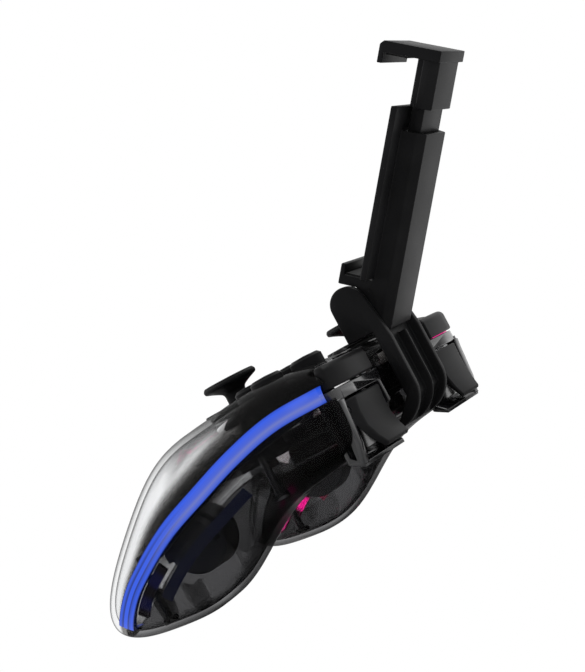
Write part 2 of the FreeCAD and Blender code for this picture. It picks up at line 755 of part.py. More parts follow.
def make_shoulder():
    frame = body("shoulder_frame_right")
    inside = size.shoulder_inner + 0.3
    drawing = sketch_on(frame, "XY_Plane", size.shelf_low)
    plan_outline(drawing, inside, size.leg_out, size.frame_back, size.frame_front, 1.6)
    pad(frame, drawing, size.shelf_top - size.shelf_low)
    wall = sketch_on(frame, "YZ_Plane", inside)
    wall_front = size.frame_back + size.frame_wall
    polygon(wall, [(size.frame_back, size.frame_low - 1.6), (wall_front + 3.2, size.frame_low - 4.2),
                   (wall_front + 3.2, size.frame_low - 2.8), (wall_front, size.frame_low),
                   (wall_front, size.shelf_top), (size.frame_back, size.shelf_top)])
    pad(frame, wall, size.leg_out - inside)
    leg = sketch_on(frame, "YZ_Plane", size.leg_in)
    polygon(leg, [(size.leg_back - 1.0, size.frame_low - 3.4), (size.leg_back + 0.9, size.frame_low - 3.4),
                  (size.leg_back + 2.2, size.frame_low + 2.6), (size.frame_front - 0.8, size.shelf_low - 3.0),
                  (size.frame_front - 0.4, size.shelf_low + 0.1),
                  (size.leg_back, size.shelf_low + 0.1), (size.leg_back - 0.4, size.frame_low + 4.6)])
    pad(frame, leg, size.leg_out - size.leg_in)
    ear = sketch_on(frame, "YZ_Plane", inside + 2.4)
    polygon(ear, [(size.frame_back, -6.0), (size.trigger_pin_y + 3.2, -4.0),
                  (size.trigger_pin_y + 3.2, size.shelf_low + 0.1),
                  (size.frame_back, size.shelf_low + 0.1)])
    pad(frame, ear, 2.2)
    pin_bores = sketch_on(frame, "YZ_Plane", inside + 1)
    circle(pin_bores, size.trigger_pin_y, size.trigger_pin_z, size.pin_r)
    pocket(frame, pin_bores, size.leg_out - inside - 2.2, reverse=True)
    seat = sketch_on(frame, "XY_Plane", size.shelf_top)
    circle(seat, size.bumper_pin_x, size.bumper_pin_y, size.pin_r)
    pocket(frame, seat, 2.4)

    bumper = body("bumper_right")
    drawing = sketch_on(bumper, "XY_Plane", size.bumper_low)
    plan_outline(drawing, size.bumper_in, size.bumper_out, size.bumper_back, size.bumper_front, 3.0)
    pad(bumper, drawing, size.bumper_top - size.bumper_low)
    fillet(bumper, 2.2, lambda m, d: near(m.z, size.bumper_top) and abs(d.z) < 0.01
           and m.y > float(size.bumper_back) + 1.0)
    bore = sketch_on(bumper, "XY_Plane", size.bumper_low)
    circle(bore, size.bumper_pin_x, size.bumper_pin_y, size.pin_r + size.running)
    pocket(bumper, bore, 5.4, reverse=True)

    pin = body("bumper_pin_right")
    drawing = sketch_on(pin, "XY_Plane", size.shelf_top - 2.4)
    circle(drawing, size.bumper_pin_x, size.bumper_pin_y, size.pin_r)
    pad(pin, drawing, 7.4)

    trigger = body("trigger_right")
    drawing = sketch_on(trigger, "YZ_Plane", size.trigger_in)
    front = size.trigger_front
    low = size.trigger_low
    back = size.trigger_back
    polygon(drawing, [(back, size.trigger_top), (front, size.trigger_top),
                      (front - 0.5, -2.5), (front - 0.4, -7.0), (front + 0.5, -11.0),
                      (size.trigger_reach, low), (size.trigger_reach - 1.2, low - 0.9),
                      (back + 5.6, low + 0.8), (back + 4.2, -10.5), (back + 3.1, -6.0), (back + 0.6, -3.0)])
    pad(trigger, drawing, size.trigger_out - size.trigger_in)
    corner = sketch_on(trigger, "XY_Plane", 10)
    polygon(corner, [(size.trigger_out + 1, front - 3.6), (size.trigger_out + 1, 60),
                     (size.trigger_out - 12, 60), (size.trigger_out - 9, size.trigger_reach + 0.3)])
    pocket(trigger, corner, 40)
    bore = sketch_on(trigger, "YZ_Plane", size.trigger_in)
    circle(bore, size.trigger_pin_y, size.trigger_pin_z, size.pin_r + size.running)
    pocket(trigger, bore, size.trigger_out - size.trigger_in, reverse=True)

    pin = body("trigger_pin_right")
    drawing = sketch_on(pin, "YZ_Plane", inside + 2.4)
    circle(drawing, size.trigger_pin_y, size.trigger_pin_z, size.pin_r)
    pad(pin, drawing, size.leg_out - inside - 3.6)


def mirror_shoulder():
    for label in ("shoulder_frame", "bumper", "bumper_pin", "trigger", "trigger_pin"):
        source = pieces[label + "_right"]
        twin = document.addObject("Part::Mirroring", label + "_left")
        twin.Source = source
        twin.Normal = Vector(1, 0, 0)
        pieces[label + "_left"] = twin
    document.recompute()


# Clip: foot on the pad, then the arm and its sliding jaw in a frame of their own

def make_clip_foot():
    """Two cheeks and a thin rib round the pad's front edge, hollow between them."""
    foot = body("clip_base")
    core_middle = size.spine_height + size.core_lift
    face = core_middle + size.core_half_height
    belly = size.core_half_height - core_middle
    bottom = -(belly + size.clip_gap + size.clip_plate)
    back = size.clip_tip_y - size.clip_tip_r
    inside = size.cheek_out - size.cheek_thick
    drawing = sketch_on(foot, "YZ_Plane")
    polygon(drawing, [(back, bottom), (size.clip_front, bottom), (size.clip_front, size.clip_bend_z),
                      (size.clip_tip_y + size.clip_tip_r * 0.9895, size.clip_tip_z + size.clip_tip_r * 0.1443),
                      (size.clip_tip_y, size.clip_tip_z), (back, size.clip_tip_z)])
    pad(foot, drawing, size.cheek_out * 2, symmetric=True)
    fillet(foot, size.clip_round, lambda m, d: near(m.y, size.clip_front) and near(m.z, bottom)
           and abs(d.y) < 0.01 and abs(d.z) < 0.01)
    tips = sketch_on(foot, "YZ_Plane")
    circle(tips, size.clip_tip_y, size.clip_tip_z, size.clip_tip_r)
    pad(foot, tips, size.cheek_out * 2, symmetric=True)
    hollow = sketch_on(foot, "YZ_Plane")
    plate_top = face + size.clip_gap + size.clip_plate
    rectangle(hollow, back - 5, size.clip_front + 5, plate_top, size.clip_pivot_z + 30)
    pocket(foot, hollow, inside * 2, symmetric=True)
    swing = sketch_on(foot, "YZ_Plane")
    polygon(swing, [(size.clip_pivot_y - 2.6, plate_top + 1.2), (size.clip_front + 5, plate_top - 9.7),
                    (size.clip_front + 5, face + 12), (size.clip_pivot_y - 2.6, face + 12)])
    pocket(foot, swing, inside * 2, symmetric=True)
    seat = sketch_on(foot, "YZ_Plane")
    seat_front = size.body_front + size.clip_gap
    seat_low = -(belly + size.clip_gap)
    polygon(seat, [(back - 5, seat_low), (seat_front - size.clip_chamfer, seat_low),
                   (seat_front, seat_low + size.clip_chamfer), (seat_front, face + size.clip_gap),
                   (back - 5, face + size.clip_gap)])
    pocket(foot, seat, size.cheek_out * 2 + 4, symmetric=True)
    wall_front = seat_front + size.clip_wall
    for sign in (1, -1):
        recess = sketch_on(foot, "YZ_Plane", sign * size.rib_half)
        polygon(recess, [(wall_front, seat_low + size.clip_chamfer - 0.7),
                         (wall_front - size.clip_chamfer - 3.6, seat_low - 4.3),
                         (size.clip_front + 5, seat_low - 4.3), (size.clip_front + 5, face + 8),
                         (wall_front, face + 8)])
        pocket(foot, recess, inside - size.rib_half, reverse=sign > 0)
    notch = sketch_on(foot, "YZ_Plane")
    rectangle(notch, wall_front, size.clip_front + 5, size.clip_bend_z, face + 8)
    pocket(foot, notch, size.rib_half * 4, symmetric=True)
    pin_long = (size.cheek_out - size.clip_skin) * 2
    bore = sketch_on(foot, "YZ_Plane")
    circle(bore, size.clip_pivot_y, size.clip_pivot_z, size.clip_pin_r)
    pocket(foot, bore, pin_long, symmetric=True)
    pin = body("clip_pin")
    drawing = sketch_on(pin, "YZ_Plane")
    circle(drawing, size.clip_pivot_y, size.clip_pivot_z, size.clip_pin_r)
    pad(pin, drawing, pin_long, symmetric=True)


def arm_placement():
    turn = Rotation(Vector(1, 0, 0), size.arm_angle.value - 90.0)
    return Placement(v(0, size.clip_pivot_y, size.clip_pivot_z), turn)


def bevelled_box(item, half, front, back, bevel, low, length):
    """A box along the arm whose two back corners are cut off."""
    drawing = sketch_on(item, "XY_Plane", low)
    polygon(drawing, [(-half, front), (half, front), (half, back - bevel), (half - bevel * 0.8, back),
                      (-half + bevel * 0.8, back), (-half, back - bevel)])
    pad(item, drawing, length)


def make_clip_arm():
    arm = body("clip_arm")
    half = size.arm_half
    plate_back = size.plate_front + size.plate_thick
    plate_low = size.seat + size.pad_thick + 0.2
    plate = sketch_on(arm, "XY_Plane", plate_low)
    rectangle(plate, -size.plate_half, size.plate_half, size.plate_front, plate_back)
    pad(arm, plate, size.plate_top - plate_low)
    bevelled_box(arm, half, plate_back - 0.6, size.arm_back, size.arm_bevel, -size.arm_end,
                 size.arm_top + size.arm_end)
    knuckle = sketch_on(arm, "YZ_Plane")
    circle(knuckle, 0, 0, size.arm_end)
    pad(arm, knuckle, half * 2, symmetric=True)
    shelf = sketch_on(arm, "YZ_Plane")
    lip = -(size.jaw_reach - size.jaw_lip)
    polygon(shelf, [(plate_back, size.seat - size.jaw_thick), (plate_back, size.seat), (lip, size.seat),
                    (lip, size.seat + size.lip_rise), (-size.jaw_reach, size.seat + size.lip_rise),
                    (-size.jaw_reach, size.seat - size.jaw_thick)])
    pad(arm, shelf, half * 2, symmetric=True)
    cavity = sketch_on(arm, "XY_Plane", size.arm_top)
    rectangle(cavity, -(half - size.arm_wall), half - size.arm_wall,
              plate_back + size.arm_wall - 0.6, size.arm_back - size.arm_wall)
    pocket(arm, cavity, size.arm_top - size.seat - 6)
    bore = sketch_on(arm, "YZ_Plane")
    circle(bore, 0, 0, size.clip_pin_r + size.running)
    pocket(arm, bore, half * 2 + 2, symmetric=True)

    slider = body("clip_slider")
    gap = size.slider_gap
    tongue = sketch_on(slider, "XY_Plane", size.tongue_low)
    inset = size.arm_wall + gap
    rectangle(tongue, -(half - inset), half - inset, plate_back + inset - 0.6, size.arm_back - inset)
    pad(slider, tongue, size.slider_low - size.tongue_low + 1)
    top = size.seat + size.opening
    bevelled_box(slider, half, size.slider_step, size.arm_back, size.arm_bevel, size.slider_low,
                 top - size.slider_low + 1)
    core = sketch_on(slider, "XY_Plane", size.slider_low)
    rectangle(core, -(half - 3.4), half - 3.4, plate_back + gap, size.slider_step + 1)
    pad(slider, core, top - size.slider_low + 1)
    jaw = sketch_on(slider, "YZ_Plane")
    reach = size.jaw_reach
    polygon(jaw, [(size.jaw_back, top), (size.jaw_back, top + size.jaw_thick + 0.4),
                  (-reach + 1.2, top + size.jaw_thick + 0.4), (-reach, top + size.jaw_thick - 0.8),
                  (-reach, top - size.lip_rise), (lip, top - size.lip_rise), (lip, top)])
    pad(slider, jaw, size.jaw_half * 2, symmetric=True)

    for label, height in (("jaw_pad_low", size.seat), ("jaw_pad_top", top - size.pad_thick)):
        rubber = body(label)
        drawing = sketch_on(rubber, "XY_Plane", height)
        rectangle(drawing, -(half - 1), half - 1, lip + 0.4, size.plate_front - 0.6)
        pad(rubber, drawing, size.pad_thick)
    place = arm_placement()
    names = ["clip_arm", "clip_slider", "jaw_pad_low", "jaw_pad_top"]
    return {name: place for name in names}


def make_led_board(name, side):
    """A narrow lamp board that stands behind the light strip."""
    points = [(20.0, 5.2), (-6.0, 1.0), (-24.0, -5.2), (-40.0, -11.6)]
    half_high = 2.0
    solids = []
    thick = 1.0
    for a, b in zip(points, points[1:]):
        xa = side * (inner_reach(a[0]) - size.lamp_gap.value)
        xb = side * (inner_reach(b[0]) - size.lamp_gap.value)
        corners = [Vector(xa, a[0], a[1] - half_high), Vector(xb, b[0], b[1] - half_high),
                   Vector(xb, b[0], b[1] + half_high), Vector(xa, a[0], a[1] + half_high)]
        face = Part.Face(Part.makePolygon(corners + corners[:1]))
        solids.append(face.extrude(Vector(-side * thick, 0, 0)))
    joined = solids[0].fuse(solids[1:])
    solid_piece("led_board_" + name, joined.removeSplitter())


def make_lamp_trays():
    """Dark trays that follow the skin behind the strips and keep the light out of the grips."""
    near_side = Form(size.wall.value + size.tray_gap.value)
    far_side = Form(size.wall.value + (size.tray_gap + size.tray_thick).value)
    leaf = near_side.solid().cut(far_side.solid())
    band = above_seam(-size.tray_drop.value).cut(above_seam(size.tray_rise.value))
    leaf = leaf.common(band)
    for name, side in SIDES.items():
        start = size.half_width.value - 14.5
        x0, x1 = sorted((side * start, side * BIG))
        tray = leaf.common(block(x0, x1, size.tray_back, size.tray_front, -BIG, BIG))
        bosses = [post(x, y, size.boss_r + 0.3, -BIG, BIG) for x, y in SCREWS]
        solid_piece("lamp_tray_" + name, largest(tray.cut(bosses)))


def inner_reach(y):
    """Half width of the hollow at one distance from the player, at the height of the spine."""
    low = 40.0
    high = inner.width
    for _ in range(40):
        middle = (low + high) / 2.0
        if inner.front(middle) > y > inner.back(middle):
            low = middle
        else:
            high = middle
    return low


# Build

placements = {}
make_shells()
make_lamp_trays()
make_screws()
make_board()
for side_name, side_sign in SIDES.items():
    placements.update(make_motor(side_name, side_sign))
    make_led_board(side_name, side_sign)
RING_HEIGHT = {"right": size.ring_right_z, "left": size.ring_left_z}
STICKS = {"right": (size.stick_right_x, size.stick_right_y),
          "left": (size.stick_left_x, size.stick_left_y)}
for stick_name, (stick_x, stick_y) in STICKS.items():
    placements.update(make_stick(stick_name, stick_x, stick_y))
    placements.update(make_stick_ring(stick_name, stick_x, stick_y, RING_HEIGHT[stick_name]))
CROSS = {"east": (1, 0), "west": (-1, 0), "north": (0, 1), "south": (0, -1)}
dome_places = []
for direction, (step_x, step_y) in CROSS.items():
    button_x = size.pad_x + step_x * size.pad_step
    button_y = size.pad_y + step_y * size.pad_step
    dome_places.append((button_x, button_y))
    placements.update(make_button("button_" + direction, button_x, button_y, size.button_r,
                                  size.button_top, size.button_low))
for label, sign in (("menu_button", 1), ("view_button", -1)):
    placements.update(make_button(label, sign * size.menu_x, size.menu_y, size.menu_r,
                                  size.menu_top, size.button_low))
placements.update(make_button("home_button", 0, size.home_y, size.home_r, size.home_top,
                              size.button_low))
placements.update(make_dpad())
edge = size.pad_step + size.dome_r + 0.6
make_membrane("button_membrane", dome_places, size.pad_x - edge, size.pad_x + edge,
              size.pad_y - edge, size.board_front)
make_shoulder()
mirror_shoulder()
make_clip_foot()
placements.update(make_clip_arm())
document.recompute()

# Stand the finished object on the table

for label, place in placements.items():
    pieces[label].Placement = place
document.recompute()


def lowest_line():
    """Turn about X that lays the grips and the lowest of the shoulders or clip on one level."""
    points = []
    for labels in (("bottom_shell",), ("clip_base", "shoulder_frame_right", "trigger_right")):
        vertices = [p for label in labels for p in pieces[label].Shape.tessellate(0.2)[0]]
        points.append([(p.y, p.z) for p in vertices])
    angle = 0.0
    for _ in range(6):
        cosine = math.cos(angle)
        sine = math.sin(angle)
        lows = [min(group, key=lambda p: p[0] * sine + p[1] * cosine) for group in points]
        (ya, za), (yb, zb) = lows
        angle = math.atan2(-(zb - za), yb - ya)
    return math.degrees(angle)


tilt = lowest_line()
turn = Placement(Vector(0, 0, 0), Rotation(Vector(1, 0, 0), tilt))
box_low = [BIG, BIG, BIG]
box_high = [-BIG, -BIG, -BIG]
for item in pieces.values():
    shape = item.Shape.copy()
    shape.transformShape(turn.toMatrix())
    for point in shape.tessellate(0.05)[0]:
        for axis, value in enumerate((point.x, point.y, point.z)):
            box_low[axis] = min(box_low[axis], value)
            box_high[axis] = max(box_high[axis], value)
shift = Vector(0.0, -(box_low[1] + box_high[1]) / 2, -box_low[2])
rest = Placement(shift, Rotation()).multiply(turn)
for label, item in pieces.items():
    if item.TypeId != "Part::Mirroring":
        item.Placement = rest.multiply(placements.get(label, Placement()))
document.recompute()
print("rest tilt %.4f deg, shift %.4f %.4f %.4f" % (tilt, shift.x, shift.y, shift.z))

# Check and write

for item in document.Objects:
    if "Invalid" in item.State or "Error" in item.State:
        raise RuntimeError("%s is in state %s" % (item.Label, item.State))
os.makedirs("parts", exist_ok=True)
for label, item in pieces.items():
    if item.Shape.isNull() or not item.Shape.isValid():
        raise RuntimeError("%s has no valid shape" % label)
for label, item in pieces.items():
    item.Shape.exportStep(os.path.join("parts", label + ".step"))
print("%d pieces written" % len(pieces))
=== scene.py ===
"""Transparent wireless gamepad with a clip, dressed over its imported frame."""

import bmesh
import bpy
import json
import numpy as np
from mathutils import Matrix, Vector


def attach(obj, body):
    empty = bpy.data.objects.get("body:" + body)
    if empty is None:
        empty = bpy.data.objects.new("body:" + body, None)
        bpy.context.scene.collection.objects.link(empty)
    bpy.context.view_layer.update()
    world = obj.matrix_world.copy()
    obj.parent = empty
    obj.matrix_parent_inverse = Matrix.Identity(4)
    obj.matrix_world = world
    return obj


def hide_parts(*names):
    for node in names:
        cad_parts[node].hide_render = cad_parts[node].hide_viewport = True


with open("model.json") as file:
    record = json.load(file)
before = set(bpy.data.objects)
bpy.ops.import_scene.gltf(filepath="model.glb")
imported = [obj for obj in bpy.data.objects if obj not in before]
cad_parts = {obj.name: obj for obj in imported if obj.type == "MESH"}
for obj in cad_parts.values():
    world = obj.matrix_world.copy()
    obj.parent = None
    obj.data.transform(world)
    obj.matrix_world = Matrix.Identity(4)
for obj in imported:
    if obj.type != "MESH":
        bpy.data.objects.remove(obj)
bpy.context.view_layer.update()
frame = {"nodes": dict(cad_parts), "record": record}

bl_info = {
    "name": "Transparent Gamepad",
    "version": (1, 0, 0),
    "blender": (4, 5, 0),
    "location": "3D View > Sidebar > Gamepad",
    "description": "Builds the shells, light strips, sticks and finishes of a transparent gamepad",
    "category": "Add Mesh",
}

# The pad is drawn in the frame of its face, in millimetres: X to the player's right, Y away from
# the player, Z out of the face. This turn about X and this lift stand it on the table.
REST_TILT = np.radians(-15.6476)
REST_TURN = np.array([[1, 0, 0], [0, np.cos(REST_TILT), -np.sin(REST_TILT)],
                      [0, np.sin(REST_TILT), np.cos(REST_TILT)]])
REST_SHIFT = np.array((0.0, -18.1323, 24.5454))
MM_PER_M = 1000.0


def on_table(points):
    """Face frame in mm to the table frame in m: a turn about X, then a lift."""
    return (np.asarray(points, float) @ REST_TURN.T + REST_SHIFT) / MM_PER_M


def off_table(points):
    """The way back from the table frame in m to the face frame in mm."""
    return (np.asarray(points, float) * MM_PER_M - REST_SHIFT) @ REST_TURN


def direction(vector):
    """A direction of the face frame, turned into the table frame."""
    return np.asarray(vector, float) @ REST_TURN.T


# Settings

class GAMEPAD_PG_shells(bpy.types.PropertyGroup):
    wall: bpy.props.FloatProperty(
        name="Wall", description="Thickness of the shells in mm", default=1.9, min=1.0, max=4.0)
    clear_tint: bpy.props.FloatVectorProperty(
        name="Clear tint", description="Colour passed by one face of the upper shell",
        default=(0.985, 0.987, 0.99), subtype="COLOR", size=3)
    smoke_tint: bpy.props.FloatVectorProperty(
        name="Smoke tint", description="Colour passed by one face of the lower shell",
        default=(0.50, 0.50, 0.505), subtype="COLOR", size=3)
    fineness: bpy.props.IntProperty(
        name="Fineness", description="Steps along half the pad", default=120, min=20, max=300)


class GAMEPAD_PG_strips(bpy.types.PropertyGroup):
    width: bpy.props.FloatProperty(
        name="Width", description="Width of the light strip in mm", default=5.2, min=1.0, max=12.0)
    right_colour: bpy.props.FloatVectorProperty(
        name="Right colour", description="Light of the right grip", default=(0.03, 0.12, 0.95),
        subtype="COLOR", size=3)
    left_colour: bpy.props.FloatVectorProperty(
        name="Left colour", description="Light of the left grip", default=(1.0, 0.01, 0.32),
        subtype="COLOR", size=3)
    strength: bpy.props.FloatProperty(
        name="Strength", description="Brightness of the strips", default=0.8, min=0.0, max=10.0)


class GAMEPAD_PG_stage(bpy.types.PropertyGroup):
    lens: bpy.props.FloatProperty(
        name="Lens", description="Focal length of the camera", default=107.14, min=10.0, max=400.0,
        unit="CAMERA")
    ambient: bpy.props.FloatProperty(
        name="Ambient", description="Light from all round", default=0.55, min=0.0, max=2.0)


# Meshes from grids

def new_piece(name, points, faces, body, look, smooth=True):
    """An object at the origin whose mesh holds its place; it rides on a body."""
    mesh = bpy.data.meshes.new(name)
    mesh.from_pydata([tuple(p) for p in points], [], faces)
    mesh.validate()
    mesh.update()
    piece = bpy.data.objects.new(name, mesh)
    bpy.context.scene.collection.objects.link(piece)
    if smooth:
        mesh.polygons.foreach_set("use_smooth", np.ones(len(mesh.polygons), bool))
    if look is not None:
        mesh.materials.append(look)
    if body is not None:
        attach(piece, body)
    return piece


def grid_faces(rows, columns, start=0, wrap=False, flip=False):
    """Quads of a grid of rows by columns, wrapped round the columns for a tube."""
    r = np.arange(rows - 1)[:, None]
    c = np.arange(columns if wrap else columns - 1)[None, :]
    d = (c + 1) % columns
    near, far = r * columns, (r + 1) * columns
    quads = np.stack([near + c, near + d, far + d, far + c], -1).reshape(-1, 4) + start
    if flip:
        quads = quads[:, ::-1]
    return [tuple(int(i) for i in q) for q in quads]


def tube_faces(rows, columns, flip=False):
    """Faces of a closed tube: quads round its rows, and one face over each end."""
    last = (rows - 1) * columns
    ends = [tuple(range(columns))[::-1], tuple(range(last, last + columns))]
    ends = [end[::-1] for end in ends] if flip else ends
    return grid_faces(rows, columns, wrap=True, flip=flip) + ends


def revolve(profile, centre, sides=96, ripple=None):
    """A profile of (radius, height) turned about Z; ripple adds to the radius by row and angle."""
    profile = np.asarray(profile, float)
    angle = np.linspace(0, 2 * np.pi, sides, endpoint=False)
    radius = profile[:, 0][:, None] * np.ones(sides)[None, :]
    if ripple is not None:
        radius = radius + ripple(profile[:, 0][:, None], profile[:, 1][:, None], angle[None, :])
    x = centre[0] + radius * np.cos(angle)
    y = centre[1] + radius * np.sin(angle)
    z = profile[:, 1][:, None] + 0 * angle[None, :]
    return np.stack([x, y, z], -1).reshape(-1, 3), tube_faces(len(profile), sides)


def rounded(points, steps=6, share=0.35):
    """A line of points with each inner corner turned into a small quadratic arc."""
    points = np.asarray(points, float)
    result = [points[0]]
    t = np.linspace(0, 1, steps)[:, None]
    for before, corner, after in zip(points[:-2], points[1:-1], points[2:]):
        reach = share * min(np.linalg.norm(before - corner), np.linalg.norm(after - corner))
        a = corner + (before - corner) / np.linalg.norm(before - corner) * reach
        b = corner + (after - corner) / np.linalg.norm(after - corner) * reach
        result.extend((1 - t) ** 2 * a + 2 * t * (1 - t) * corner + t ** 2 * b)
    result.append(points[-1])
    return np.array(result)


# The form of the pad: closed YZ sections along X, bent along a spine that droops in the grips.
# Lengths in mm. Everything is worked out for the right half and mirrored.

HALF_WIDTH, BODY_FRONT, BODY_BACK, GRIP_END, GRIP_MIDDLE = 77.8, 32.0, -33.0, -71.0, 60.0
CORE_END, CORE_FADE = 18, 32
SHOULDER_START, SHOULDER_FALL, SHOULDER_POWER = 45, 37, 5.2
BACK_START, BACK_BOW, GRIP_ROUND, FLANK_POWER = 8, 1.25, 49, 2.4
SPINE_LEVEL, SPINE_CROWN, DROOP_CORE, DROOP_GRIP, DROOP_BEND = 1.3, 1.4, 0.04, 0.345, 5
CORE_HALF, GRIP_HALF, PALM_SWELL, PALM_PLACE, PALM_REACH = 13.9, 17.4, 6.3, -31, 20
FLANK_START, FLANK_SLACK = 58, 0.3
SECTION_POWER, CORE_POWER, CORE_LEAN = 3.1, 0.9, 0.6
HALVINGS, POWER_ROUNDS = 40, 14
INNERMOST = 30.0


def smoothstep(v):
    """0 up to 0, 1 from 1 on, and a smooth rise between."""
    v = np.clip(v, 0, 1)
    return v * v * (3 - 2 * v)


def grip_share(x):
    """0 in the core of the pad, 1 in the grips, with a smooth step between."""
    return smoothstep((x - CORE_END) / CORE_FADE)


def front_line(x, inset):
    """Front edge in plan: straight, then a superellipse shoulder."""
    share = np.clip((x - SHOULDER_START) / (HALF_WIDTH - inset - SHOULDER_START), 0, 1)
    return BODY_FRONT - inset - SHOULDER_FALL * (1 - np.sqrt(np.maximum(1 - share ** SHOULDER_POWER, 0)))


def back_line(x, inset):
    """Back edge in plan: a smooth step from the middle to the grip's end, then its outer round."""
    share = np.clip((x - GRIP_MIDDLE) / (HALF_WIDTH - inset - GRIP_MIDDLE), 0, 1)
    outer = GRIP_END + inset + GRIP_ROUND * (1 - np.sqrt(np.maximum(1 - share ** FLANK_POWER, 0)))
    start = BACK_START + inset
    share = np.maximum((x - start) / (GRIP_MIDDLE - start), 0) ** BACK_BOW
    inner = BODY_BACK + inset + (GRIP_END - BODY_BACK) * smoothstep(share)
    return np.where(x >= GRIP_MIDDLE, outer, inner)


def spine(x, y):
    """Height of the middle of the section: level in front, drooping behind along a softened line."""
    grip = grip_share(x)
    droop = (DROOP_CORE + DROOP_GRIP * grip) * DROOP_BEND * np.log1p(np.exp(-y / DROOP_BEND))
    return SPINE_LEVEL + SPINE_CROWN * (1 - grip) - droop


def half_height(x, y, inset):
    """Half the section's height: swollen at the palm, closing to nothing at the flank."""
    grip = GRIP_HALF + PALM_SWELL * np.exp(-((y - PALM_PLACE) / PALM_REACH) ** 2)
    height = CORE_HALF + (grip - CORE_HALF) * grip_share(x) - inset
    share = np.clip((x - FLANK_START) / (HALF_WIDTH - inset + FLANK_SLACK - FLANK_START), 0, 1)
    return height * np.sqrt(1 - share ** FLANK_POWER)


def power_of(x, cosine):
    """The power of the section, squarer towards the front."""
    core = 1 - grip_share(x)
    return 2 / (SECTION_POWER + cosine + core * (CORE_POWER - CORE_LEAN * cosine))


def skin(x, angle, inset=0.0):
    """A point of the pad's skin at a station x and an angle round its section."""
    across = np.abs(x)
    front, back = front_line(across, inset), back_line(across, inset)
    cosine, sine = np.cos(angle), np.sin(angle)
    power = power_of(across, cosine)
    y = (front + back) / 2 + (front - back) / 2 * np.sign(cosine) * np.abs(cosine) ** power
    z = spine(across, y) + half_height(across, y, inset) * np.sign(sine) * np.abs(sine) ** power
    return np.stack([x + 0 * y, y, z], -1)


def skin_reach(x, y, inset=0.0):
    """Height of the skin above and below the spine at a place, by solving for the angle."""
    across = np.abs(x)
    front, back = front_line(across, inset), back_line(across, inset)
    u = np.clip((y - (front + back) / 2) / ((front - back) / 2), -1, 1)
    cosine = u.copy()
    for _ in range(POWER_ROUNDS):
        cosine = np.sign(u) * np.abs(u) ** (1 / power_of(across, cosine))
    sine = np.sqrt(np.maximum(1 - cosine ** 2, 0))
    return half_height(across, y, inset) * sine ** power_of(across, cosine)


def flank_x(y, z, inset=0.0):
    """The outermost x at which the point (y, z) lies on the skin, by halving from INNERMOST."""
    low = np.full(np.shape(y), INNERMOST)
    high = np.full(np.shape(y), HALF_WIDTH - inset)
    for _ in range(HALVINGS):
        middle = (low + high) / 2
        inside = np.abs(z - spine(middle, y)) < skin_reach(middle, y, inset)
        low = np.where(inside, middle, low)
        high = np.where(inside, high, middle)
    return low


SEAM = np.array([(-74, -39), (-63, -26.6), (-55, -19.6), (-46, -14), (-34, -7.8), (-18, -2), (-3, 2.9),
                 (12.7, 6.4), (27, 6.9), (60, 6.4)], float)
SEAM_SLOPE = np.gradient(SEAM[:, 1], SEAM[:, 0])


def seam_z(y):
    """Height of the seam between the shells: cubic arcs through its points."""
    y = np.clip(y, SEAM[0, 0], SEAM[-1, 0])
    i = np.clip(np.searchsorted(SEAM[:, 0], y) - 1, 0, len(SEAM) - 2)
    step = SEAM[i + 1, 0] - SEAM[i, 0]
    t = (y - SEAM[i, 0]) / step
    return ((2 * t ** 3 - 3 * t ** 2 + 1) * SEAM[i, 1] + (t ** 3 - 2 * t ** 2 + t) * step * SEAM_SLOPE[i]
            + (3 * t ** 2 - 2 * t ** 3) * SEAM[i + 1, 1] + (t ** 3 - t ** 2) * step * SEAM_SLOPE[i + 1])


def seam_angle(x, inset, low, high):
    """Angle between low and high at which the section crosses the seam."""
    low = np.full(np.shape(x), low)
    high = np.full(np.shape(x), high)
    point = skin(x, low, inset)
    sign = np.sign(point[..., 2] - seam_z(point[..., 1]))
    for _ in range(HALVINGS):
        middle = (low + high) / 2
        point = skin(x, middle, inset)
        same = np.sign(point[..., 2] - seam_z(point[..., 1])) == sign
        low = np.where(same, middle, low)
        high = np.where(same, high, middle)
    return (low + high) / 2


def shell_mesh(upper, wall, stations, round_steps=110):
    """One shell as a closed wall: outer skin, inner skin, two rims along the seam and two ends."""
    s = np.sin(np.linspace(-np.pi / 2, np.pi / 2, 2 * stations + 1))
    grids = []
    for inset in (0.0, wall):
        x = s * (HALF_WIDTH - inset)
        first = seam_angle(x, inset, -np.pi / 2, np.pi / 2)
        last = seam_angle(x, inset, np.pi / 2, 1.5 * np.pi)
        if not upper:
            first, last = last, first + 2 * np.pi
        share = np.linspace(0, 1, round_steps)
        # Closer steps at both rims and at the crown
        share = share - 0.1 * np.sin(4 * np.pi * share) / np.pi
        angle = first[:, None] + (last - first)[:, None] * share[None, :]
        grids.append(skin(x[:, None] + 0 * angle, angle, inset))
    rows, columns = grids[0].shape[:2]
    points = np.concatenate([grid.reshape(-1, 3) for grid in grids])
    shift = rows * columns
    faces = grid_faces(rows, columns) + grid_faces(rows, columns, shift, flip=True)
    line = np.arange(rows) * columns
    for column, turn in ((0, False), (columns - 1, True)):
        a, b = line[:-1] + column, line[1:] + column
        quads = np.stack([a, b, b + shift, a + shift], -1)
        if turn:
            quads = quads[:, ::-1]
        faces += [tuple(int(i) for i in q) for q in quads]
    for row, turn in ((0, False), (rows - 1, True)):
        outer = list(range(row * columns, (row + 1) * columns))
        inner = [i + shift for i in outer]
        ends = [tuple(outer), tuple(inner[::-1]), (outer[-1], outer[0], inner[0], inner[-1])]
        faces += [end[::-1] if turn else end for end in ends]
    return points, faces


# Along Y in mm: how far above the seam the shade reaches, and what its height counts for
SHADE_REACH = ((-66, -50, -30, 0, 10, 24), (2.5, 4.5, 8.5, 12.0, 18.0, 28.0))
SHADE_WEIGHT = ((-60, -30, 0), (0.65, 0.85, 1.0))
SHADE_FLANK, SHADE_FLANK_WIDTH, SHADE_BELOW = 52, 8, 3


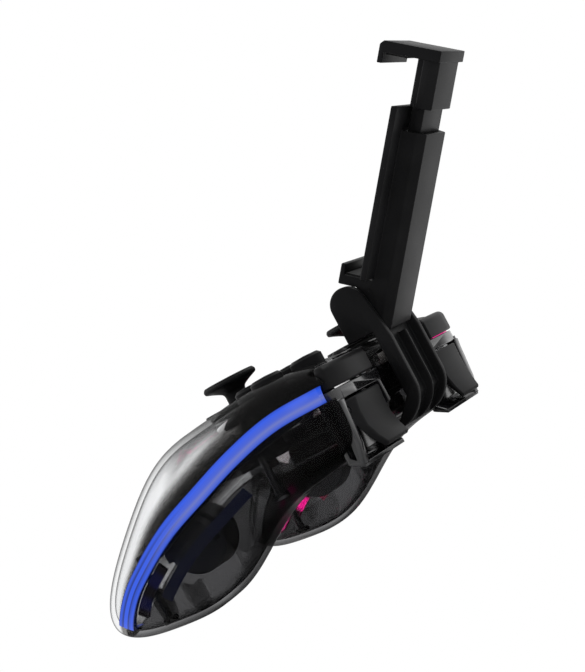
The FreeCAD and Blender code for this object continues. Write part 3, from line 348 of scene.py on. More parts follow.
def shade_near_strips(piece):
    """The attribute shade: 1 at the seam, falling by a smooth step to 0 at a reach that grows from
    the grip's end to the front, and only on the outer flanks."""
    mesh = piece.data
    places = np.empty(len(mesh.vertices) * 3, np.float32)
    mesh.vertices.foreach_get("co", places)
    x, y, z = off_table(places.reshape(-1, 3)).T
    reach = np.interp(y, *SHADE_REACH)
    above = (z - seam_z(y)) * np.interp(y, *SHADE_WEIGHT)
    flank = smoothstep((np.abs(x) - SHADE_FLANK) / SHADE_FLANK_WIDTH)
    value = (1 - smoothstep((above / reach - 0.5) / 0.5)) * flank * (z > seam_z(y) - SHADE_BELOW)
    layer = mesh.attributes.new("shade", "FLOAT", "POINT")
    layer.data.foreach_set("value", value.astype(np.float32))


def box_mesh(x0, x1, y0, y1, z0, z1):
    """A box from its six sides' places."""
    points = np.array([(x, y, z) for x in (x0, x1) for y in (y0, y1) for z in (z0, z1)], float)
    faces = [(0, 1, 3, 2), (4, 6, 7, 5), (0, 4, 5, 1), (2, 3, 7, 6), (0, 2, 6, 4), (1, 5, 7, 3)]
    return points, faces


def post_mesh(x, y, radius, z0, z1):
    """An upright round post."""
    return revolve([(radius, z0), (radius, z1)], (x, y))


BAND_ENDS = (-64.5, 60)
BAND_FAR = 90.0


def band_mesh(side, width, steps=90):
    """The space of one light strip: a four-sided tube along the seam, out past the flank."""
    y = np.linspace(*BAND_ENDS, steps)
    slope = np.gradient(seam_z(y), y)
    length = np.hypot(1, slope)
    low = np.stack([y + slope / length * width / 2, seam_z(y) - width / 2 / length], -1)
    high = np.stack([y - slope / length * width / 2, seam_z(y) + width / 2 / length], -1)
    near = np.interp(y, [BAND_ENDS[0], -20, BAND_ENDS[1]], [62, 52, 52]) * side
    far = np.full(steps, BAND_FAR) * side
    corners = [np.column_stack([near, low]), np.column_stack([far, low]), np.column_stack([far, high]),
               np.column_stack([near, high])]
    points = np.stack(corners, 1).reshape(-1, 3)
    return points, tube_faces(steps, 4, flip=side > 0)


def close_and_turn(mesh, reach=1e-7):
    """Merge coinciding points of a closed mesh and turn its faces outwards."""
    shape = bmesh.new()
    shape.from_mesh(mesh)
    bmesh.ops.remove_doubles(shape, verts=shape.verts, dist=reach)
    bmesh.ops.recalc_face_normals(shape, faces=shape.faces)
    open_edges = sum(1 for edge in shape.edges if len(edge.link_faces) != 2)
    shape.to_mesh(mesh)
    shape.free()
    if open_edges:
        raise RuntimeError("%s has %d open edges" % (mesh.name, open_edges))


def cut_away(piece, cutters):
    """Cut closed meshes out of a piece, one by one, and keep the result as its mesh."""
    helpers = []
    close_and_turn(piece.data)
    whole = len(piece.data.vertices)
    for number, (points, faces) in enumerate(cutters):
        mesh = bpy.data.meshes.new("cutter")
        mesh.from_pydata([tuple(p) for p in on_table(points)], [], faces)
        mesh.update()
        close_and_turn(mesh)
        helper = bpy.data.objects.new("cutter", mesh)
        bpy.context.scene.collection.objects.link(helper)
        helpers.append(helper)
        change = piece.modifiers.new("cut %d" % number, "BOOLEAN")
        change.operation = "DIFFERENCE"
        change.solver = "MANIFOLD"
        change.object = helper
    graph = bpy.context.evaluated_depsgraph_get()
    result = bpy.data.meshes.new_from_object(piece.evaluated_get(graph))
    if len(result.vertices) == whole:
        raise RuntimeError("nothing was cut out of " + piece.name)
    old = piece.data
    piece.modifiers.clear()
    piece.data = result
    result.name = old.name
    for helper in helpers:
        data = helper.data
        bpy.data.objects.remove(helper)
        bpy.data.meshes.remove(data)
    sharp_by_angle(piece, 35)


def sharp_by_angle(piece, degrees):
    """Smooth shading that stops at edges sharper than the given angle."""
    mesh = piece.data
    mesh.polygons.foreach_set("use_smooth", np.ones(len(mesh.polygons), bool))
    mesh.set_sharp_from_angle(angle=np.radians(degrees))


# Finishes

def material(name):
    """A fresh material with its nodes, its Principled shader and its output."""
    made = bpy.data.materials.new(name)
    made.use_nodes = True
    nodes = made.node_tree.nodes
    return made, nodes, made.node_tree.links, nodes["Principled BSDF"], nodes["Material Output"]


def feed(links, node, values):
    """Fill a node's inputs by name or number: a socket is linked, anything else becomes the value."""
    for key, value in values.items():
        if isinstance(value, bpy.types.NodeSocket):
            links.new(value, node.inputs[key])
        else:
            node.inputs[key].default_value = value


def calculate(nodes, links, operation, *values):
    """The result of a Math node over numbers and sockets."""
    node = nodes.new("ShaderNodeMath")
    node.operation = operation
    feed(links, node, dict(enumerate(values)))
    return node.outputs["Value"]


def remap(nodes, links, source, start, end, low=0.0, high=1.0, smooth=False):
    """The source's way from start to end, mapped to the way from low to high."""
    node = nodes.new("ShaderNodeMapRange")
    if smooth:
        node.interpolation_type = "SMOOTHSTEP"
    feed(links, node, {"Value": source, "From Min": start, "From Max": end, "To Min": low,
                       "To Max": high})
    return node.outputs["Result"]


def blend(nodes, links, share, first, second):
    """Two colours mixed by a share."""
    node = nodes.new("ShaderNodeMix")
    node.data_type = "RGBA"
    feed(links, node, {"Factor": share, "A": first, "B": second})
    return node.outputs["Result"]


def put_out(nodes, links, share, first, second, output):
    """Send two shaders, mixed by a share, to the output."""
    node = nodes.new("ShaderNodeMixShader")
    feed(links, node, {"Fac": share, 1: first, 2: second})
    links.new(node.outputs["Shader"], output.inputs["Surface"])


def grain(nodes, links, scale, detail=4.0):
    """Noise over the object's own coordinates."""
    place = nodes.new("ShaderNodeTexCoord")
    noise = nodes.new("ShaderNodeTexNoise")
    feed(links, noise, {"Vector": place.outputs["Object"], "Scale": scale, "Detail": detail})
    return noise.outputs["Fac"]


def ramp(nodes, links, source, stops):
    """A colour that follows a value; stops are (place, colour) with rising places."""
    node = nodes.new("ShaderNodeValToRGB")
    elements = node.color_ramp.elements
    elements[0].position = stops[0][0]
    elements[-1].position = stops[-1][0]
    for place, colour in stops[1:-1]:
        elements.new(place)
    for element, (place, colour) in zip(elements, stops):
        element.color = (*colour, 1.0)
    links.new(source, node.inputs["Fac"])
    return node.outputs["Color"]


def greys(*stops):
    """Stops of a ramp in grey, from pairs of place and value."""
    return [(place, (value, value, value)) for place, value in stops]


def scaled(colour, factor, lift=0.0):
    """A colour times a factor, plus a lift."""
    return tuple(factor * part + lift for part in colour)


def strip_axes(nodes, links):
    """The parts of the attribute strip, each from 0 to 1: along, across, and 1 on the inner side."""
    place = nodes.new("ShaderNodeAttribute")
    place.attribute_name = "strip"
    split = nodes.new("ShaderNodeSeparateXYZ")
    links.new(place.outputs["Vector"], split.inputs["Vector"])
    return split.outputs["X"], split.outputs["Y"], split.outputs["Z"]


FINE_GRAIN, TONE_GRAIN = 2600.0, 60.0
RELIEF_DEPTH = 0.0001


def plastic(name, colour, roughness, level, relief, bend):
    """Moulded plastic: a fine spark-eroded grain, with slightly uneven gloss and tone."""
    made, nodes, links, shader, _ = material(name)
    patch = grain(nodes, links, TONE_GRAIN, 2.0)
    tone = ramp(nodes, links, patch, [(0.35, scaled(colour, 0.75)), (0.65, scaled(colour, 1.25))])
    gloss = remap(nodes, links, patch, 0.0, 1.0, roughness * 0.85, roughness * 1.15)
    fine = grain(nodes, links, FINE_GRAIN)
    bump = nodes.new("ShaderNodeBump")
    feed(links, bump, {"Strength": relief, "Distance": RELIEF_DEPTH, "Height": fine})
    feed(links, shader, {"Base Color": tone, "Roughness": gloss, "Specular IOR Level": level,
                         "IOR": bend, "Normal": bump.outputs["Normal"]})
    return made


SHADED = (0.24, 0.235, 0.23, 1)
MIRROR_STRAIGHT, MIRROR_EDGE, MIRROR_POWER = 0.03, 0.16, 4.0


def see_through(name, middle, edge, turn, body, gloss=0.05):
    """A polished transparent wall. It passes a tint that deepens where it is seen edge on. It mirrors
    3 percent, and up to 16 percent more edge on. The attribute shade darkens it."""
    made, nodes, links, shader, output = material(name)
    layer = nodes.new("ShaderNodeLayerWeight")
    layer.inputs["Blend"].default_value = 0.5
    facing = layer.outputs["Facing"]
    uneven = remap(nodes, links, grain(nodes, links, 45.0, 1.0), 0.0, 1.0, -0.02, 0.02)
    total = calculate(nodes, links, "ADD", facing, uneven)
    tint = ramp(nodes, links, total, [(0.0, middle), (turn, middle), (1.0, edge)])
    shade = nodes.new("ShaderNodeAttribute")
    shade.attribute_name = "shade"
    window = nodes.new("ShaderNodeBsdfTransparent")
    links.new(blend(nodes, links, shade.outputs["Fac"], tint, SHADED), window.inputs["Color"])
    feed(links, shader, {"Base Color": (*body, 1), "Roughness": gloss, "Specular IOR Level": 1.0})
    steep = calculate(nodes, links, "POWER", facing, MIRROR_POWER)
    shine = calculate(nodes, links, "MULTIPLY_ADD", steep, MIRROR_EDGE, MIRROR_STRAIGHT)
    put_out(nodes, links, shine, window.outputs["BSDF"], shader.outputs["BSDF"], output)
    return made


def light_guide(name, colour, strength, inner):
    """A diffusing guide. Across it runs a ramp from its lower to its upper edge; in front it has a
    pale lower half, behind it is deep with thin dark lines, and the two melt along its length. In
    the rear its inner side shines by the factor inner."""
    made, nodes, links, shader, _ = material(name)
    along, across, inside = strip_axes(nodes, links)
    pale, soft = scaled(colour, 0.50, 0.16), scaled(colour, 0.75, 0.05)
    deep, thin = scaled(colour, 0.62), scaled(colour, 0.16)
    front = ramp(nodes, links, across, [
        (0.0, deep), (0.12, soft), (0.34, pale), (0.52, soft), (0.85, colour), (1.0, deep)])
    behind = ramp(nodes, links, across, [
        (0.0, thin), (0.10, colour), (0.30, deep), (0.36, thin), (0.43, colour), (0.62, colour),
        (0.70, thin), (0.78, deep), (0.90, colour), (1.0, thin)])
    melt = remap(nodes, links, along, 0.12, 0.5, smooth=True)
    rear = remap(nodes, links, along, 0.42, 0.30)
    rear_inside = calculate(nodes, links, "MULTIPLY", rear, inside)
    power = remap(nodes, links, rear_inside, 0.4, 0.9, strength, strength * inner)
    feed(links, shader, {"Emission Color": blend(nodes, links, melt, behind, front),
                         "Emission Strength": power, "Base Color": (*scaled(colour, 0.02), 1),
                         "Roughness": 0.2, "Specular IOR Level": 0.25})
    return made


def painted_glow(name, colour):
    """A thin strip with a painted glow: the lamps' light reflected inside the grip, painted as emission
    and cloudier here and there.
    """
    made, nodes, links, shader, _ = material(name)
    cloud = grain(nodes, links, 90.0, 2.0)
    tone = ramp(nodes, links, cloud, [(0.35, scaled(colour, 0.7)), (0.6, colour)])
    feed(links, shader, {"Emission Color": tone, "Emission Strength": 1.0,
                         "Base Color": (*scaled(colour, 0.1), 1), "Roughness": 0.5})
    return made


def lamp_spots(name, colour, strength):
    """A frosted bar under the guide with two lamps in it: bright spots along its length."""
    made, nodes, links, shader, _ = material(name)
    along = strip_axes(nodes, links)[0]
    dark = scaled(colour, 0.02)
    spots = ramp(nodes, links, along, [
        (0.0, dark), (0.10, dark), (0.17, colour), (0.33, colour), (0.40, dark), (0.56, dark),
        (0.63, colour), (0.82, colour), (0.90, dark), (1.0, dark)])
    feed(links, shader, {"Emission Color": spots, "Emission Strength": strength,
                         "Base Color": (0.02, 0.004, 0.01, 1), "Roughness": 0.4})
    return made


def fading_tray(name, glow_colour):
    """Satin black behind the strip that thins out away from it. In the rear its inner side has a painted
    glow: the lamps' light painted on it as emission."""
    made, nodes, links, shader, output = material(name)
    along, across, inside = strip_axes(nodes, links)
    band = ramp(nodes, links, across, greys((0.10, 0), (0.30, 0.9), (0.62, 0.95), (0.80, 0.5), (1.0, 0)))
    length = ramp(nodes, links, along, greys((0.0, 0), (0.2, 0.7), (0.45, 1)))
    # Painted glow: the lamps' light on the tray's inner side, in the rear only
    inner = ramp(nodes, links, inside, [(0.6, (0, 0, 0)), (0.9, glow_colour)])
    feed(links, shader, {"Emission Color": inner,
                         "Emission Strength": remap(nodes, links, along, 0.55, 0.30, 0.0, 0.8),
                         "Base Color": (0.006, 0.006, 0.006, 1), "Roughness": 0.5})
    window = nodes.new("ShaderNodeBsdfTransparent")
    put_out(nodes, links, calculate(nodes, links, "MULTIPLY", band, length), window.outputs["BSDF"],
            shader.outputs["BSDF"], output)
    return made


def metal(name, colour, roughness):
    """Drawn metal, a little lighter and darker from place to place."""
    made, nodes, links, shader, _ = material(name)
    patch = grain(nodes, links, 900.0)
    tone = ramp(nodes, links, patch, [(0.3, scaled(colour, 0.8)), (0.7, scaled(colour, 1.1))])
    feed(links, shader, {"Base Color": tone, "Metallic": 1.0, "Roughness": roughness})
    return made


# Colour, roughness, specular level, relief and index of refraction
PLASTICS = {
    "satin black": ((0.0068, 0.0068, 0.0072), 0.42, 0.5, 0.04, 1.12),
    "glossy black": ((0.008, 0.008, 0.009), 0.14, 0.5, 0.0, 1.5),
    "soft rubber": ((0.006, 0.006, 0.006), 0.7, 0.12, 0.02, 1.5),
    "circuit board": ((0.008, 0.009, 0.0085), 0.35, 0.3, 0.02, 1.5),
    "wrapped cell": ((0.03, 0.03, 0.034), 0.35, 0.35, 0.04, 1.5),
}
FINISHES = {}


def make_finish(name):
    """A new material from its maker and the maker's values."""
    shells, strips = bpy.context.scene.gamepad_shells, bpy.context.scene.gamepad_strips
    clear, smoke = tuple(shells.clear_tint), tuple(shells.smoke_tint)
    if name in PLASTICS:
        return plastic(name, *PLASTICS[name])
    maker, *values = {
        "plain steel": (metal, (0.13, 0.13, 0.135), 0.4),
        "clear shell": (see_through, clear, scaled(clear, 0.01), 0.68, (0.12, 0.12, 0.12)),
        "smoke shell": (see_through, smoke, scaled(smoke, 0.06), 0.48, (0.02, 0.02, 0.02), 0.1),
        "smoke rib": (see_through, (0.84, 0.84, 0.84), (0.02, 0.02, 0.02), 0.62, (0.02, 0.02, 0.02)),
        # The reflector strips are painted reflections: they emit the lamps' light as it is reflected
        # inside the grips
        "blue reflector": (painted_glow, (0.004, 0.006, 0.03)),
        "magenta reflector": (painted_glow, (0.62, 0.08, 0.18)),
        "blue lamps": (lamp_spots, (0.01, 0.02, 0.25), 0.3),
        "magenta lamps": (lamp_spots, (1.0, 0.01, 0.30), 7.0),
        "blue tray": (fading_tray, (0.0, 0.0, 0.004)),
        "magenta tray": (fading_tray, (0.62, 0.08, 0.18)),
        "blue light": (light_guide, tuple(strips.right_colour), strips.strength, 1.0),
        "magenta light": (light_guide, tuple(strips.left_colour), strips.strength, 6.0),
    }[name]
    return maker(name, *values)


def finish(name):
    """The finishes by name, each made once."""
    if name not in FINISHES:
        FINISHES[name] = make_finish(name)
    return FINISHES[name]


def dress(node, name):
    """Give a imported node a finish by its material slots."""
    piece = frame["nodes"][node]
    if not piece.data.materials:
        piece.data.materials.append(None)
    for slot in piece.material_slots:
        slot.material = finish(name)


# Operators

# The photo's camera in the face frame: its right, down and forward directions and its place in mm
CAMERA_RIGHT = (-0.33475045, 0.8187469, -0.46647149)
CAMERA_DOWN = (0.13593015, -0.44789708, -0.8836918)
CAMERA_FORWARD = (-0.93245114, -0.35922377, 0.03864136)
CAMERA_PLACE = (607.49, 235.57, 3.53)
SENSOR_WIDTH = 36.0
# Name, place in m, power in W and size in m
LAMPS = (("key", (0.35, -0.5, 0.75), 7.0, 0.5), ("fill", (0.8, 0.5, 0.4), 0.8, 0.5),
         ("rim", (-0.5, 0.7, 0.6), 5.0, 0.4))
# In m: half the floor's width, its height, and where it starts and ends to fade
FLOOR_HALF, FLOOR_HEIGHT, FADE_START, FADE_END = 3, -0.0004, 0.2, 0.42
WALLS_SEEN_THROUGH = 40


class GAMEPAD_OT_stage(bpy.types.Operator):
    """Camera, pale floor, world and soft lamps"""
    bl_idname = "gamepad.stage"
    bl_label = "Stage"

    def execute(self, context):
        settings = context.scene.gamepad_stage
        data = bpy.data.cameras.new("photo camera")
        data.sensor_fit = "AUTO"
        data.sensor_width = SENSOR_WIDTH
        data.lens = settings.lens
        data.clip_start = 0.01
        camera = bpy.data.objects.new("photo camera", data)
        context.scene.collection.objects.link(camera)
        columns = (direction(CAMERA_RIGHT), -direction(CAMERA_DOWN), -direction(CAMERA_FORWARD),
                   on_table(CAMERA_PLACE))
        camera.matrix_world = Matrix([*np.column_stack(columns).tolist(), (0, 0, 0, 1)])
        context.scene.camera = camera
        self.floor()
        self.world(context, settings.ambient)
        for name, place, power, size in LAMPS:
            lamp = bpy.data.lights.new(name, "AREA")
            lamp.energy = power
            lamp.size = size
            item = bpy.data.objects.new(name, lamp)
            turn = Vector(place).to_track_quat("Z", "Y").to_matrix().to_4x4()
            item.matrix_world = Matrix.Translation(place) @ turn
            context.scene.collection.objects.link(item)
        context.scene.view_settings.view_transform = "Standard"
        context.scene.cycles.transparent_max_bounces = WALLS_SEEN_THROUGH
        return {"FINISHED"}

    def floor(self):
        """A pale floor that is seen from above only and fades out round the object."""
        signs = ((-1, -1), (1, -1), (1, 1), (-1, 1))
        corners = [(x * FLOOR_HALF, y * FLOOR_HALF, FLOOR_HEIGHT) for x, y in signs]
        piece = new_piece("floor", corners, [(0, 1, 2, 3)], None, None, smooth=False)
        made, nodes, links, shader, output = material("pale floor")
        feed(links, shader, {"Base Color": (0.92, 0.92, 0.92, 1), "Roughness": 0.9,
                             "Specular IOR Level": 0.0})
        window = nodes.new("ShaderNodeBsdfTransparent")
        side = nodes.new("ShaderNodeNewGeometry")
        place = nodes.new("ShaderNodeTexCoord")
        away = nodes.new("ShaderNodeVectorMath")
        away.operation = "LENGTH"
        links.new(place.outputs["Object"], away.inputs[0])
        fade = remap(nodes, links, away.outputs["Value"], FADE_START, FADE_END, smooth=True)
        clear = calculate(nodes, links, "MAXIMUM", fade, side.outputs["Backfacing"])
        put_out(nodes, links, clear, shader.outputs["BSDF"], window.outputs["BSDF"], output)
        piece.data.materials.append(made)

    def world(self, context, ambient):
        """White to the camera, to transmission and in reflections, otherwise the ambient light."""
        world = bpy.data.worlds.new("studio")
        world.use_nodes = True
        context.scene.world = world
        nodes, links = world.node_tree.nodes, world.node_tree.links
        shade = nodes["Background"]
        feed(links, shade, {"Color": (1, 1, 1, 1), "Strength": ambient})
        white = nodes.new("ShaderNodeBackground")
        feed(links, white, {"Color": (1, 1, 1, 1), "Strength": 1.0})
        rays = nodes.new("ShaderNodeLightPath").outputs
        seen = calculate(nodes, links, "MAXIMUM", rays["Is Camera Ray"], rays["Is Transmission Ray"])
        seen = calculate(nodes, links, "MAXIMUM", seen, rays["Is Glossy Ray"])
        put_out(nodes, links, seen, shade.outputs["Background"], white.outputs["Background"],
                nodes["World Output"])


# Places on the face and radii of its openings, in mm
STICKS = {"right": (22.0, -16.2), "left": (-43.0, 6.0)}
STICK_HOLE = 11.2
DPAD_PLACE, DPAD_HOLE = (-22, -16.5), 12.2
BUTTONS_PLACE, BUTTON_STEP, BUTTON_HOLE = (45, 8.8), 10.2, 5.45
MENU_PLACES, MENU_HOLE = ((11.5, 9), (-11.5, 9)), 3.05
HOME_PLACE, HOME_HOLE = (0, 0.5), 5.15
HOLE_FOOT, HOLE_TOP = 8, 60
# The notches for the bumpers and triggers: from x to x, then y, y, z, z for each of two boxes
SHOULDER_ENDS = (25.5, 66.2)
SHOULDER_BOXES = ((23.2, 90, -90, 12.6), (25.2, 90.5, 0.5, 90))


def face_holes():
    """Posts to be cut out of the face for sticks, directional pad and buttons."""
    holes = [(*place, STICK_HOLE) for place in STICKS.values()]
    holes.append((*DPAD_PLACE, DPAD_HOLE))
    x, y = BUTTONS_PLACE
    for dx, dy in ((1, 0), (-1, 0), (0, 1), (0, -1)):
        holes.append((x + BUTTON_STEP * dx, y + BUTTON_STEP * dy, BUTTON_HOLE))
    holes += [(*place, MENU_HOLE) for place in MENU_PLACES]
    holes.append((*HOME_PLACE, HOME_HOLE))
    return [post_mesh(*hole, HOLE_FOOT, HOLE_TOP) for hole in holes]


class GAMEPAD_OT_shells(bpy.types.Operator):
    """Clear upper shell and smoke lower shell, with their openings"""
    bl_idname = "gamepad.shells"
    bl_label = "Shells"

    def execute(self, context):
        settings = context.scene.gamepad_shells
        width = context.scene.gamepad_strips.width
        cutters = []
        for side in (1, -1):
            ends = sorted(side * end for end in SHOULDER_ENDS)
            cutters += [box_mesh(*ends, *box) for box in SHOULDER_BOXES]
        cutters += [band_mesh(side, width) for side in (1, -1)]
        walls = (("top_wall", True, "clear shell"), ("bottom_wall", False, "smoke shell"))
        for name, upper, look in walls:
            points, faces = shell_mesh(upper, settings.wall, settings.fineness)
            piece = new_piece(name, on_table(points), faces, "pad", finish(look))
            cut_away(piece, cutters + face_holes() if upper else cutters)
            if upper:
                shade_near_strips(piece)
            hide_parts("top_shell" if upper else "bottom_shell")
        return {"FINISHED"}


ROOM_SHARE, LEAST_SHARE = 0.9, 0.05
DEEPEST_PER_INSET = 4


def band_piece(name, side, y_ends, width_ends, insets, look, steps):
    """A curved bar along the seam. A point is given by s along the seam's curve and t across it, at
    right angles, where t shrinks to fit nine tenths of the room inside the skin. Its X is where the
    line through it parallel to X leaves the skin, taken once at each of two insets, and at most
    four times the inset from the outer skin. The attribute strip keeps s and t, from 0 to 1, and 1
    on the inner side."""
    s = np.linspace(*y_ends, steps[0])
    t = np.linspace(*width_ends, steps[1])
    slope = np.gradient(seam_z(s), s)
    length = np.hypot(1, slope)
    station = np.full(steps[0], GRIP_MIDDLE)
    reach, level = skin_reach(station, s, insets[1]), seam_z(s) - spine(station, s)
    above = np.clip(ROOM_SHARE * (reach - level) * length / max(width_ends[1], 1), LEAST_SHARE, 1)
    below = np.clip(ROOM_SHARE * (reach + level) * length / max(-width_ends[0], 1), LEAST_SHARE, 1)
    offset = np.where(t > 0, t * above[:, None], t * below[:, None])
    y = s[:, None] - (slope / length)[:, None] * offset
    z = seam_z(s)[:, None] + (1 / length)[:, None] * offset
    limit = flank_x(y, z)
    if limit.min() < INNERMOST + 1:
        raise RuntimeError(name + " leaves the skin")
    depths = (np.maximum(flank_x(y, z, inset), limit - DEEPEST_PER_INSET * inset) for inset in insets)
    outer, inner = (np.stack([side * x, y, z], -1) for x in depths)
    ring = np.concatenate([outer, inner[:, ::-1]], 1)
    rows, columns = ring.shape[:2]
    points = on_table(ring.reshape(-1, 3))
    piece = new_piece(name, points, tube_faces(rows, columns, flip=side > 0), "pad", look)
    along = (s - s[0]) / (s[-1] - s[0])
    once = (t - t[0]) / (t[-1] - t[0])
    across = np.concatenate([once, once[::-1]])
    inside = np.repeat((0, 1), steps[1])
    values = np.stack(np.broadcast_arrays(along[:, None], across[None, :], inside[None, :]), -1)
    layer = piece.data.attributes.new("strip", "FLOAT_VECTOR", "POINT")
    layer.data.foreach_set("vector", values.astype(np.float32).ravel())
    sharp_by_angle(piece, 40)
    return piece


GUIDE_FIT = 0.985


class GAMEPAD_OT_strips(bpy.types.Operator):
    """The two light guides along the grips, with trays, painted reflection strips and lamp bars behind
    them
    """
    bl_idname = "gamepad.strips"
    bl_label = "Light strips"

    def execute(self, context):
        half = context.scene.gamepad_strips.width / 2 * GUIDE_FIT
        wall = context.scene.gamepad_shells.wall
        for name, side, hue in (("right", 1, "blue"), ("left", -1, "magenta")):
            # In mm: from s to s, from t to t, and the insets of the outer and the inner side
            piece = band_piece("guide_" + name, side, (-64.4, 27.0), (-half, half),
                               (0.0, wall), finish(hue + " light"), (240, 25))
            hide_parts("light_guide_" + name)
            piece = band_piece("tray_" + name, side, (-52.0, 22.6), (-8.0, 10.0),
                               (wall + 2.7, wall + 3.9), finish(hue + " tray"), (120, 25))
            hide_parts("lamp_tray_" + name)
            # Painted reflection: a strip that emits the lamps' light as it is reflected inside the grip
            piece = band_piece("reflector_" + name, side, (-51.0, -8.0), (-11.5, -8.2),
                               (wall + 0.1, wall + 0.8), finish(hue + " reflector"), (120, 9))
            piece = band_piece("lamp_bar_" + name, side, (-60.0, -43.0), (-6.0, -2.8),
                               (wall + 0.1, wall + 1.4), finish(hue + " lamps"), (60, 9))
        return {"FINISHED"}


RIB_THICKNESS, RIB_INSET = 1.1, 2.0
# For each rib of the right grip: start and end in plan in mm, then its foot and top as shares
RIBS = (((46, -60), (72, -50), 0.02, 0.40), ((46, -57.5), (73, -47.5), 0.02, 0.36),
        ((50, -44), (70, -40), 0.0, 0.22), ((48, -17), (72, -19), 0.02, 0.44),
        ((47, -10), (60, -24), 0.02, 0.5))


def rib(name, side, start, end, low, high):
    """A thin standing wall inside a grip. Along it runs a straight line in plan from start to end;
    its foot and top are given as shares of the way from the lower inner skin to the upper one."""
    s = np.linspace(0, 1, 40)[:, None]
    h = np.linspace(0, 1, 24)[None, :]
    x = start[0] + (end[0] - start[0]) * s + 0 * h
    y = start[1] + (end[1] - start[1]) * s + 0 * h
    reach = skin_reach(x, y, RIB_INSET)
    foot = spine(x, y) - reach * (1 - 2 * low)
    top = spine(x, y) - reach * (1 - 2 * high)
    z = foot + (top - foot) * h
    normal = np.array([end[1] - start[1], start[0] - end[0]], float)
    normal = normal / np.linalg.norm(normal) * RIB_THICKNESS / 2
    front = np.stack([side * (x + normal[0]), y + normal[1], z], -1)
    back = np.stack([side * (x - normal[0]), y - normal[1], z], -1)
    ring = np.concatenate([front, back[:, ::-1]], 1)
    rows, columns = ring.shape[:2]
    points = on_table(ring.reshape(-1, 3))
    piece = new_piece(name, points, tube_faces(rows, columns, flip=side < 0), "pad", finish("smoke rib"))
    sharp_by_angle(piece, 40)


class GAMEPAD_OT_ribs(bpy.types.Operator):
    """Stiffening ribs inside both grips, moulded with the lower shell"""
    bl_idname = "gamepad.ribs"
    bl_label = "Ribs"

    def execute(self, context):
        for name, side in (("right", 1), ("left", -1)):
            for number, values in enumerate(RIBS):
                rib("rib_%s_%d" % (name, number + 1), side, *values)
        return {"FINISHED"}


# In mm: the cap's top, the pivot's height, radius of the dome, of the cap and of the neck
STICK_TOP, STICK_PIVOT, DOME, STICK_RADIUS, NECK = 26.2, 3.6, 12.2, 9.2, 3.55
KNURLS, KNURL_DEPTH = 72, 0.16


class GAMEPAD_OT_sticks(bpy.types.Operator):
    """Thumb sticks: a dished cap with a knurled rim, a neck and a dome"""
    bl_idname = "gamepad.sticks"
    bl_label = "Sticks"

    def execute(self, context):
        top, pivot, radius = STICK_TOP, STICK_PIVOT, STICK_RADIUS
        arc = np.radians(np.linspace(46, 20, 14))
        shell = np.column_stack([DOME * np.sin(arc), pivot + DOME * np.cos(arc)])
        stem = [(0.01, pivot - 1.1), (1.35, pivot - 1.1), (1.35, pivot + 5.1), (3.3, pivot + 5.1),
                (3.3, pivot + DOME - 1.9), (6.4, pivot + DOME - 3.0), (8.4, pivot + DOME - 4.7)]
        cap = rounded([(4.4, pivot + DOME - 0.7), (NECK, top - 8.0), (NECK, top - 4.6), (6.4, top - 3.2),
                       (radius - 0.25, top - 2.2), (radius - 0.02, top - 1.2), (radius - 0.7, top - 0.2),
                       (radius - 1.9, top - 0.25), (radius - 3.0, top - 1.0), (3.0, top - 1.5),
                       (0.01, top - 1.6)])
        profile = np.concatenate([stem, shell, cap])

        def ripple(r, z, angle):
            """Knurls on the rim: a cosine round it, fading to either side."""
            on_rim = np.exp(-((r - (radius - 0.4)) / 0.5) ** 2) * (z > top - 3.2) * (r < radius + 0.1)
            return -KNURL_DEPTH * on_rim * (0.5 + 0.5 * np.cos(KNURLS * angle))

        for name, place in STICKS.items():
            points, faces = revolve(profile, place, 288, ripple)
            piece = new_piece("stick_" + name, on_table(points), faces, "stick_cap_" + name,
                              finish("satin black"))
            sharp_by_angle(piece, 40)
            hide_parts("stick_cap_" + name)
        return {"FINISHED"}


def body_of(node):
    """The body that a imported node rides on."""
    for body, members in frame["record"]["behaviour"]["bodies"].items():
        if node in members:
            return body
    raise RuntimeError("no body holds " + node)


MERGE_REACH, FLAT_ANGLE, BEVEL_ANGLE = 2e-6, np.radians(0.6), np.radians(28)


def softened(node, name, look, width, segments=3):
    """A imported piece's own shape with its sharp edges rounded: its triangles are merged, flat faces
    are joined, and a bevel of the given width in mm runs along edges of more than 28 degrees."""
    mesh = frame["nodes"][node].data.copy()
    mesh.name = name
    shape = bmesh.new()
    shape.from_mesh(mesh)
    bmesh.ops.remove_doubles(shape, verts=shape.verts, dist=MERGE_REACH)
    bmesh.ops.dissolve_limit(shape, angle_limit=FLAT_ANGLE, verts=shape.verts, edges=shape.edges)
    shape.to_mesh(mesh)
    shape.free()
    mesh.materials.clear()
    mesh.materials.append(finish(look))
    piece = bpy.data.objects.new(name, mesh)
    bpy.context.scene.collection.objects.link(piece)
    round_off = piece.modifiers.new("rounded edges", "BEVEL")
    round_off.width = width / MM_PER_M
    round_off.segments = segments
    round_off.limit_method = "ANGLE"
    round_off.angle_limit = BEVEL_ANGLE
    round_off.use_clamp_overlap = False
    round_off.miter_outer = "MITER_ARC"
    graph = bpy.context.evaluated_depsgraph_get()
    result = bpy.data.meshes.new_from_object(piece.evaluated_get(graph))
    piece.modifiers.clear()
    piece.data = result
    sharp_by_angle(piece, 32)
    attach(piece, body_of(node))
    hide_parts(node)


class GAMEPAD_OT_hard_parts(bpy.types.Operator):
    """Clip, bumpers, triggers and brackets with rounded edges"""
    bl_idname = "gamepad.hard_parts"
    bl_label = "Clip and shoulders"

    def execute(self, context):
        for node, width in (("clip_base", 0.5), ("clip_arm", 0.4), ("clip_slider", 0.3)):
            softened(node, node.replace("clip", "screen_clip"), "satin black", width)
        for side in ("right", "left"):
            softened("bumper_" + side, "bumper_key_" + side, "satin black", 0.7)
            softened("trigger_" + side, "trigger_key_" + side, "satin black", 0.7)
            softened("shoulder_frame_" + side, "bracket_" + side, "glossy black", 0.3, 2)
        return {"FINISHED"}


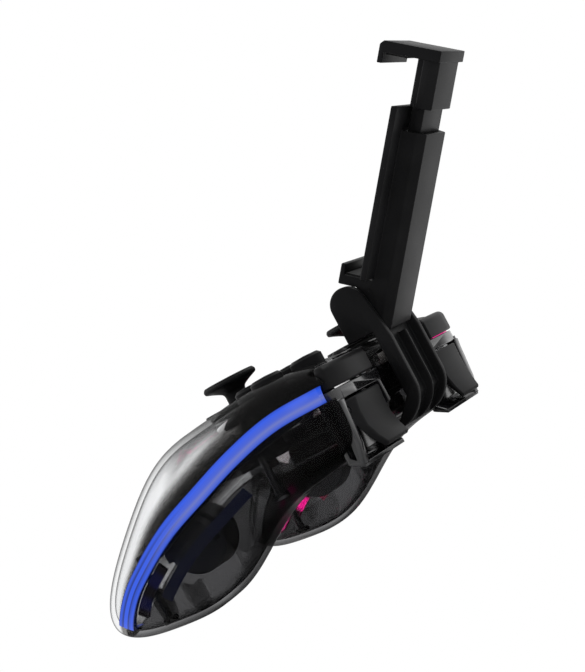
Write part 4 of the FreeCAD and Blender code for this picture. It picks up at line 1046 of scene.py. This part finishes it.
class GAMEPAD_OT_finishes(bpy.types.Operator):
    """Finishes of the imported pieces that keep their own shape"""
    bl_idname = "gamepad.finishes"
    bl_label = "Finishes"

    def execute(self, context):
        looks = {"satin_black": "satin black", "gloss_black": "glossy black",
                 "soft_rubber": "soft rubber", "circuit_board": "circuit board",
                 "cell": "wrapped cell", "steel": "plain steel"}
        for entry in frame["record"]["subparts"]:
            if entry["material_slot"] in looks and entry["node"] in frame["nodes"]:
                dress(entry["node"], looks[entry["material_slot"]])
        return {"FINISHED"}


class GAMEPAD_PT_panel(bpy.types.Panel):
    """Lists the steps that build the gamepad"""
    bl_idname = "GAMEPAD_PT_panel"
    bl_label = "Transparent Gamepad"
    bl_space_type = "VIEW_3D"
    bl_region_type = "UI"
    bl_category = "Gamepad"

    def draw(self, context):
        for group_name in GROUPS:
            group = getattr(context.scene, group_name)
            box = self.layout.box()
            for name in group.bl_rna.properties.keys():
                if name not in ("rna_type", "name"):
                    box.prop(group, name)
        for step in STEPS:
            self.layout.operator(step.bl_idname)


STEPS = (GAMEPAD_OT_stage, GAMEPAD_OT_shells, GAMEPAD_OT_strips, GAMEPAD_OT_ribs, GAMEPAD_OT_sticks,
         GAMEPAD_OT_hard_parts, GAMEPAD_OT_finishes)
GROUPS = {"gamepad_shells": GAMEPAD_PG_shells, "gamepad_strips": GAMEPAD_PG_strips,
          "gamepad_stage": GAMEPAD_PG_stage}


def register():
    """Make the settings, the steps and the panel known to Blender."""
    for group in GROUPS.values():
        bpy.utils.register_class(group)
    for step in STEPS:
        bpy.utils.register_class(step)
    bpy.utils.register_class(GAMEPAD_PT_panel)
    for name, group in GROUPS.items():
        setattr(bpy.types.Scene, name, bpy.props.PointerProperty(type=group))


def unregister():
    """Take them back, in the opposite order."""
    for name in GROUPS:
        delattr(bpy.types.Scene, name)
    bpy.utils.unregister_class(GAMEPAD_PT_panel)
    for step in reversed(STEPS):
        bpy.utils.unregister_class(step)
    for group in GROUPS.values():
        bpy.utils.unregister_class(group)


def main():
    """Build everything with the settings as they stand."""
    register()
    bpy.ops.gamepad.stage()
    bpy.ops.gamepad.shells()
    bpy.ops.gamepad.strips()
    bpy.ops.gamepad.ribs()
    bpy.ops.gamepad.sticks()
    bpy.ops.gamepad.hard_parts()
    bpy.ops.gamepad.finishes()


if __name__ == "__main__":
    main()
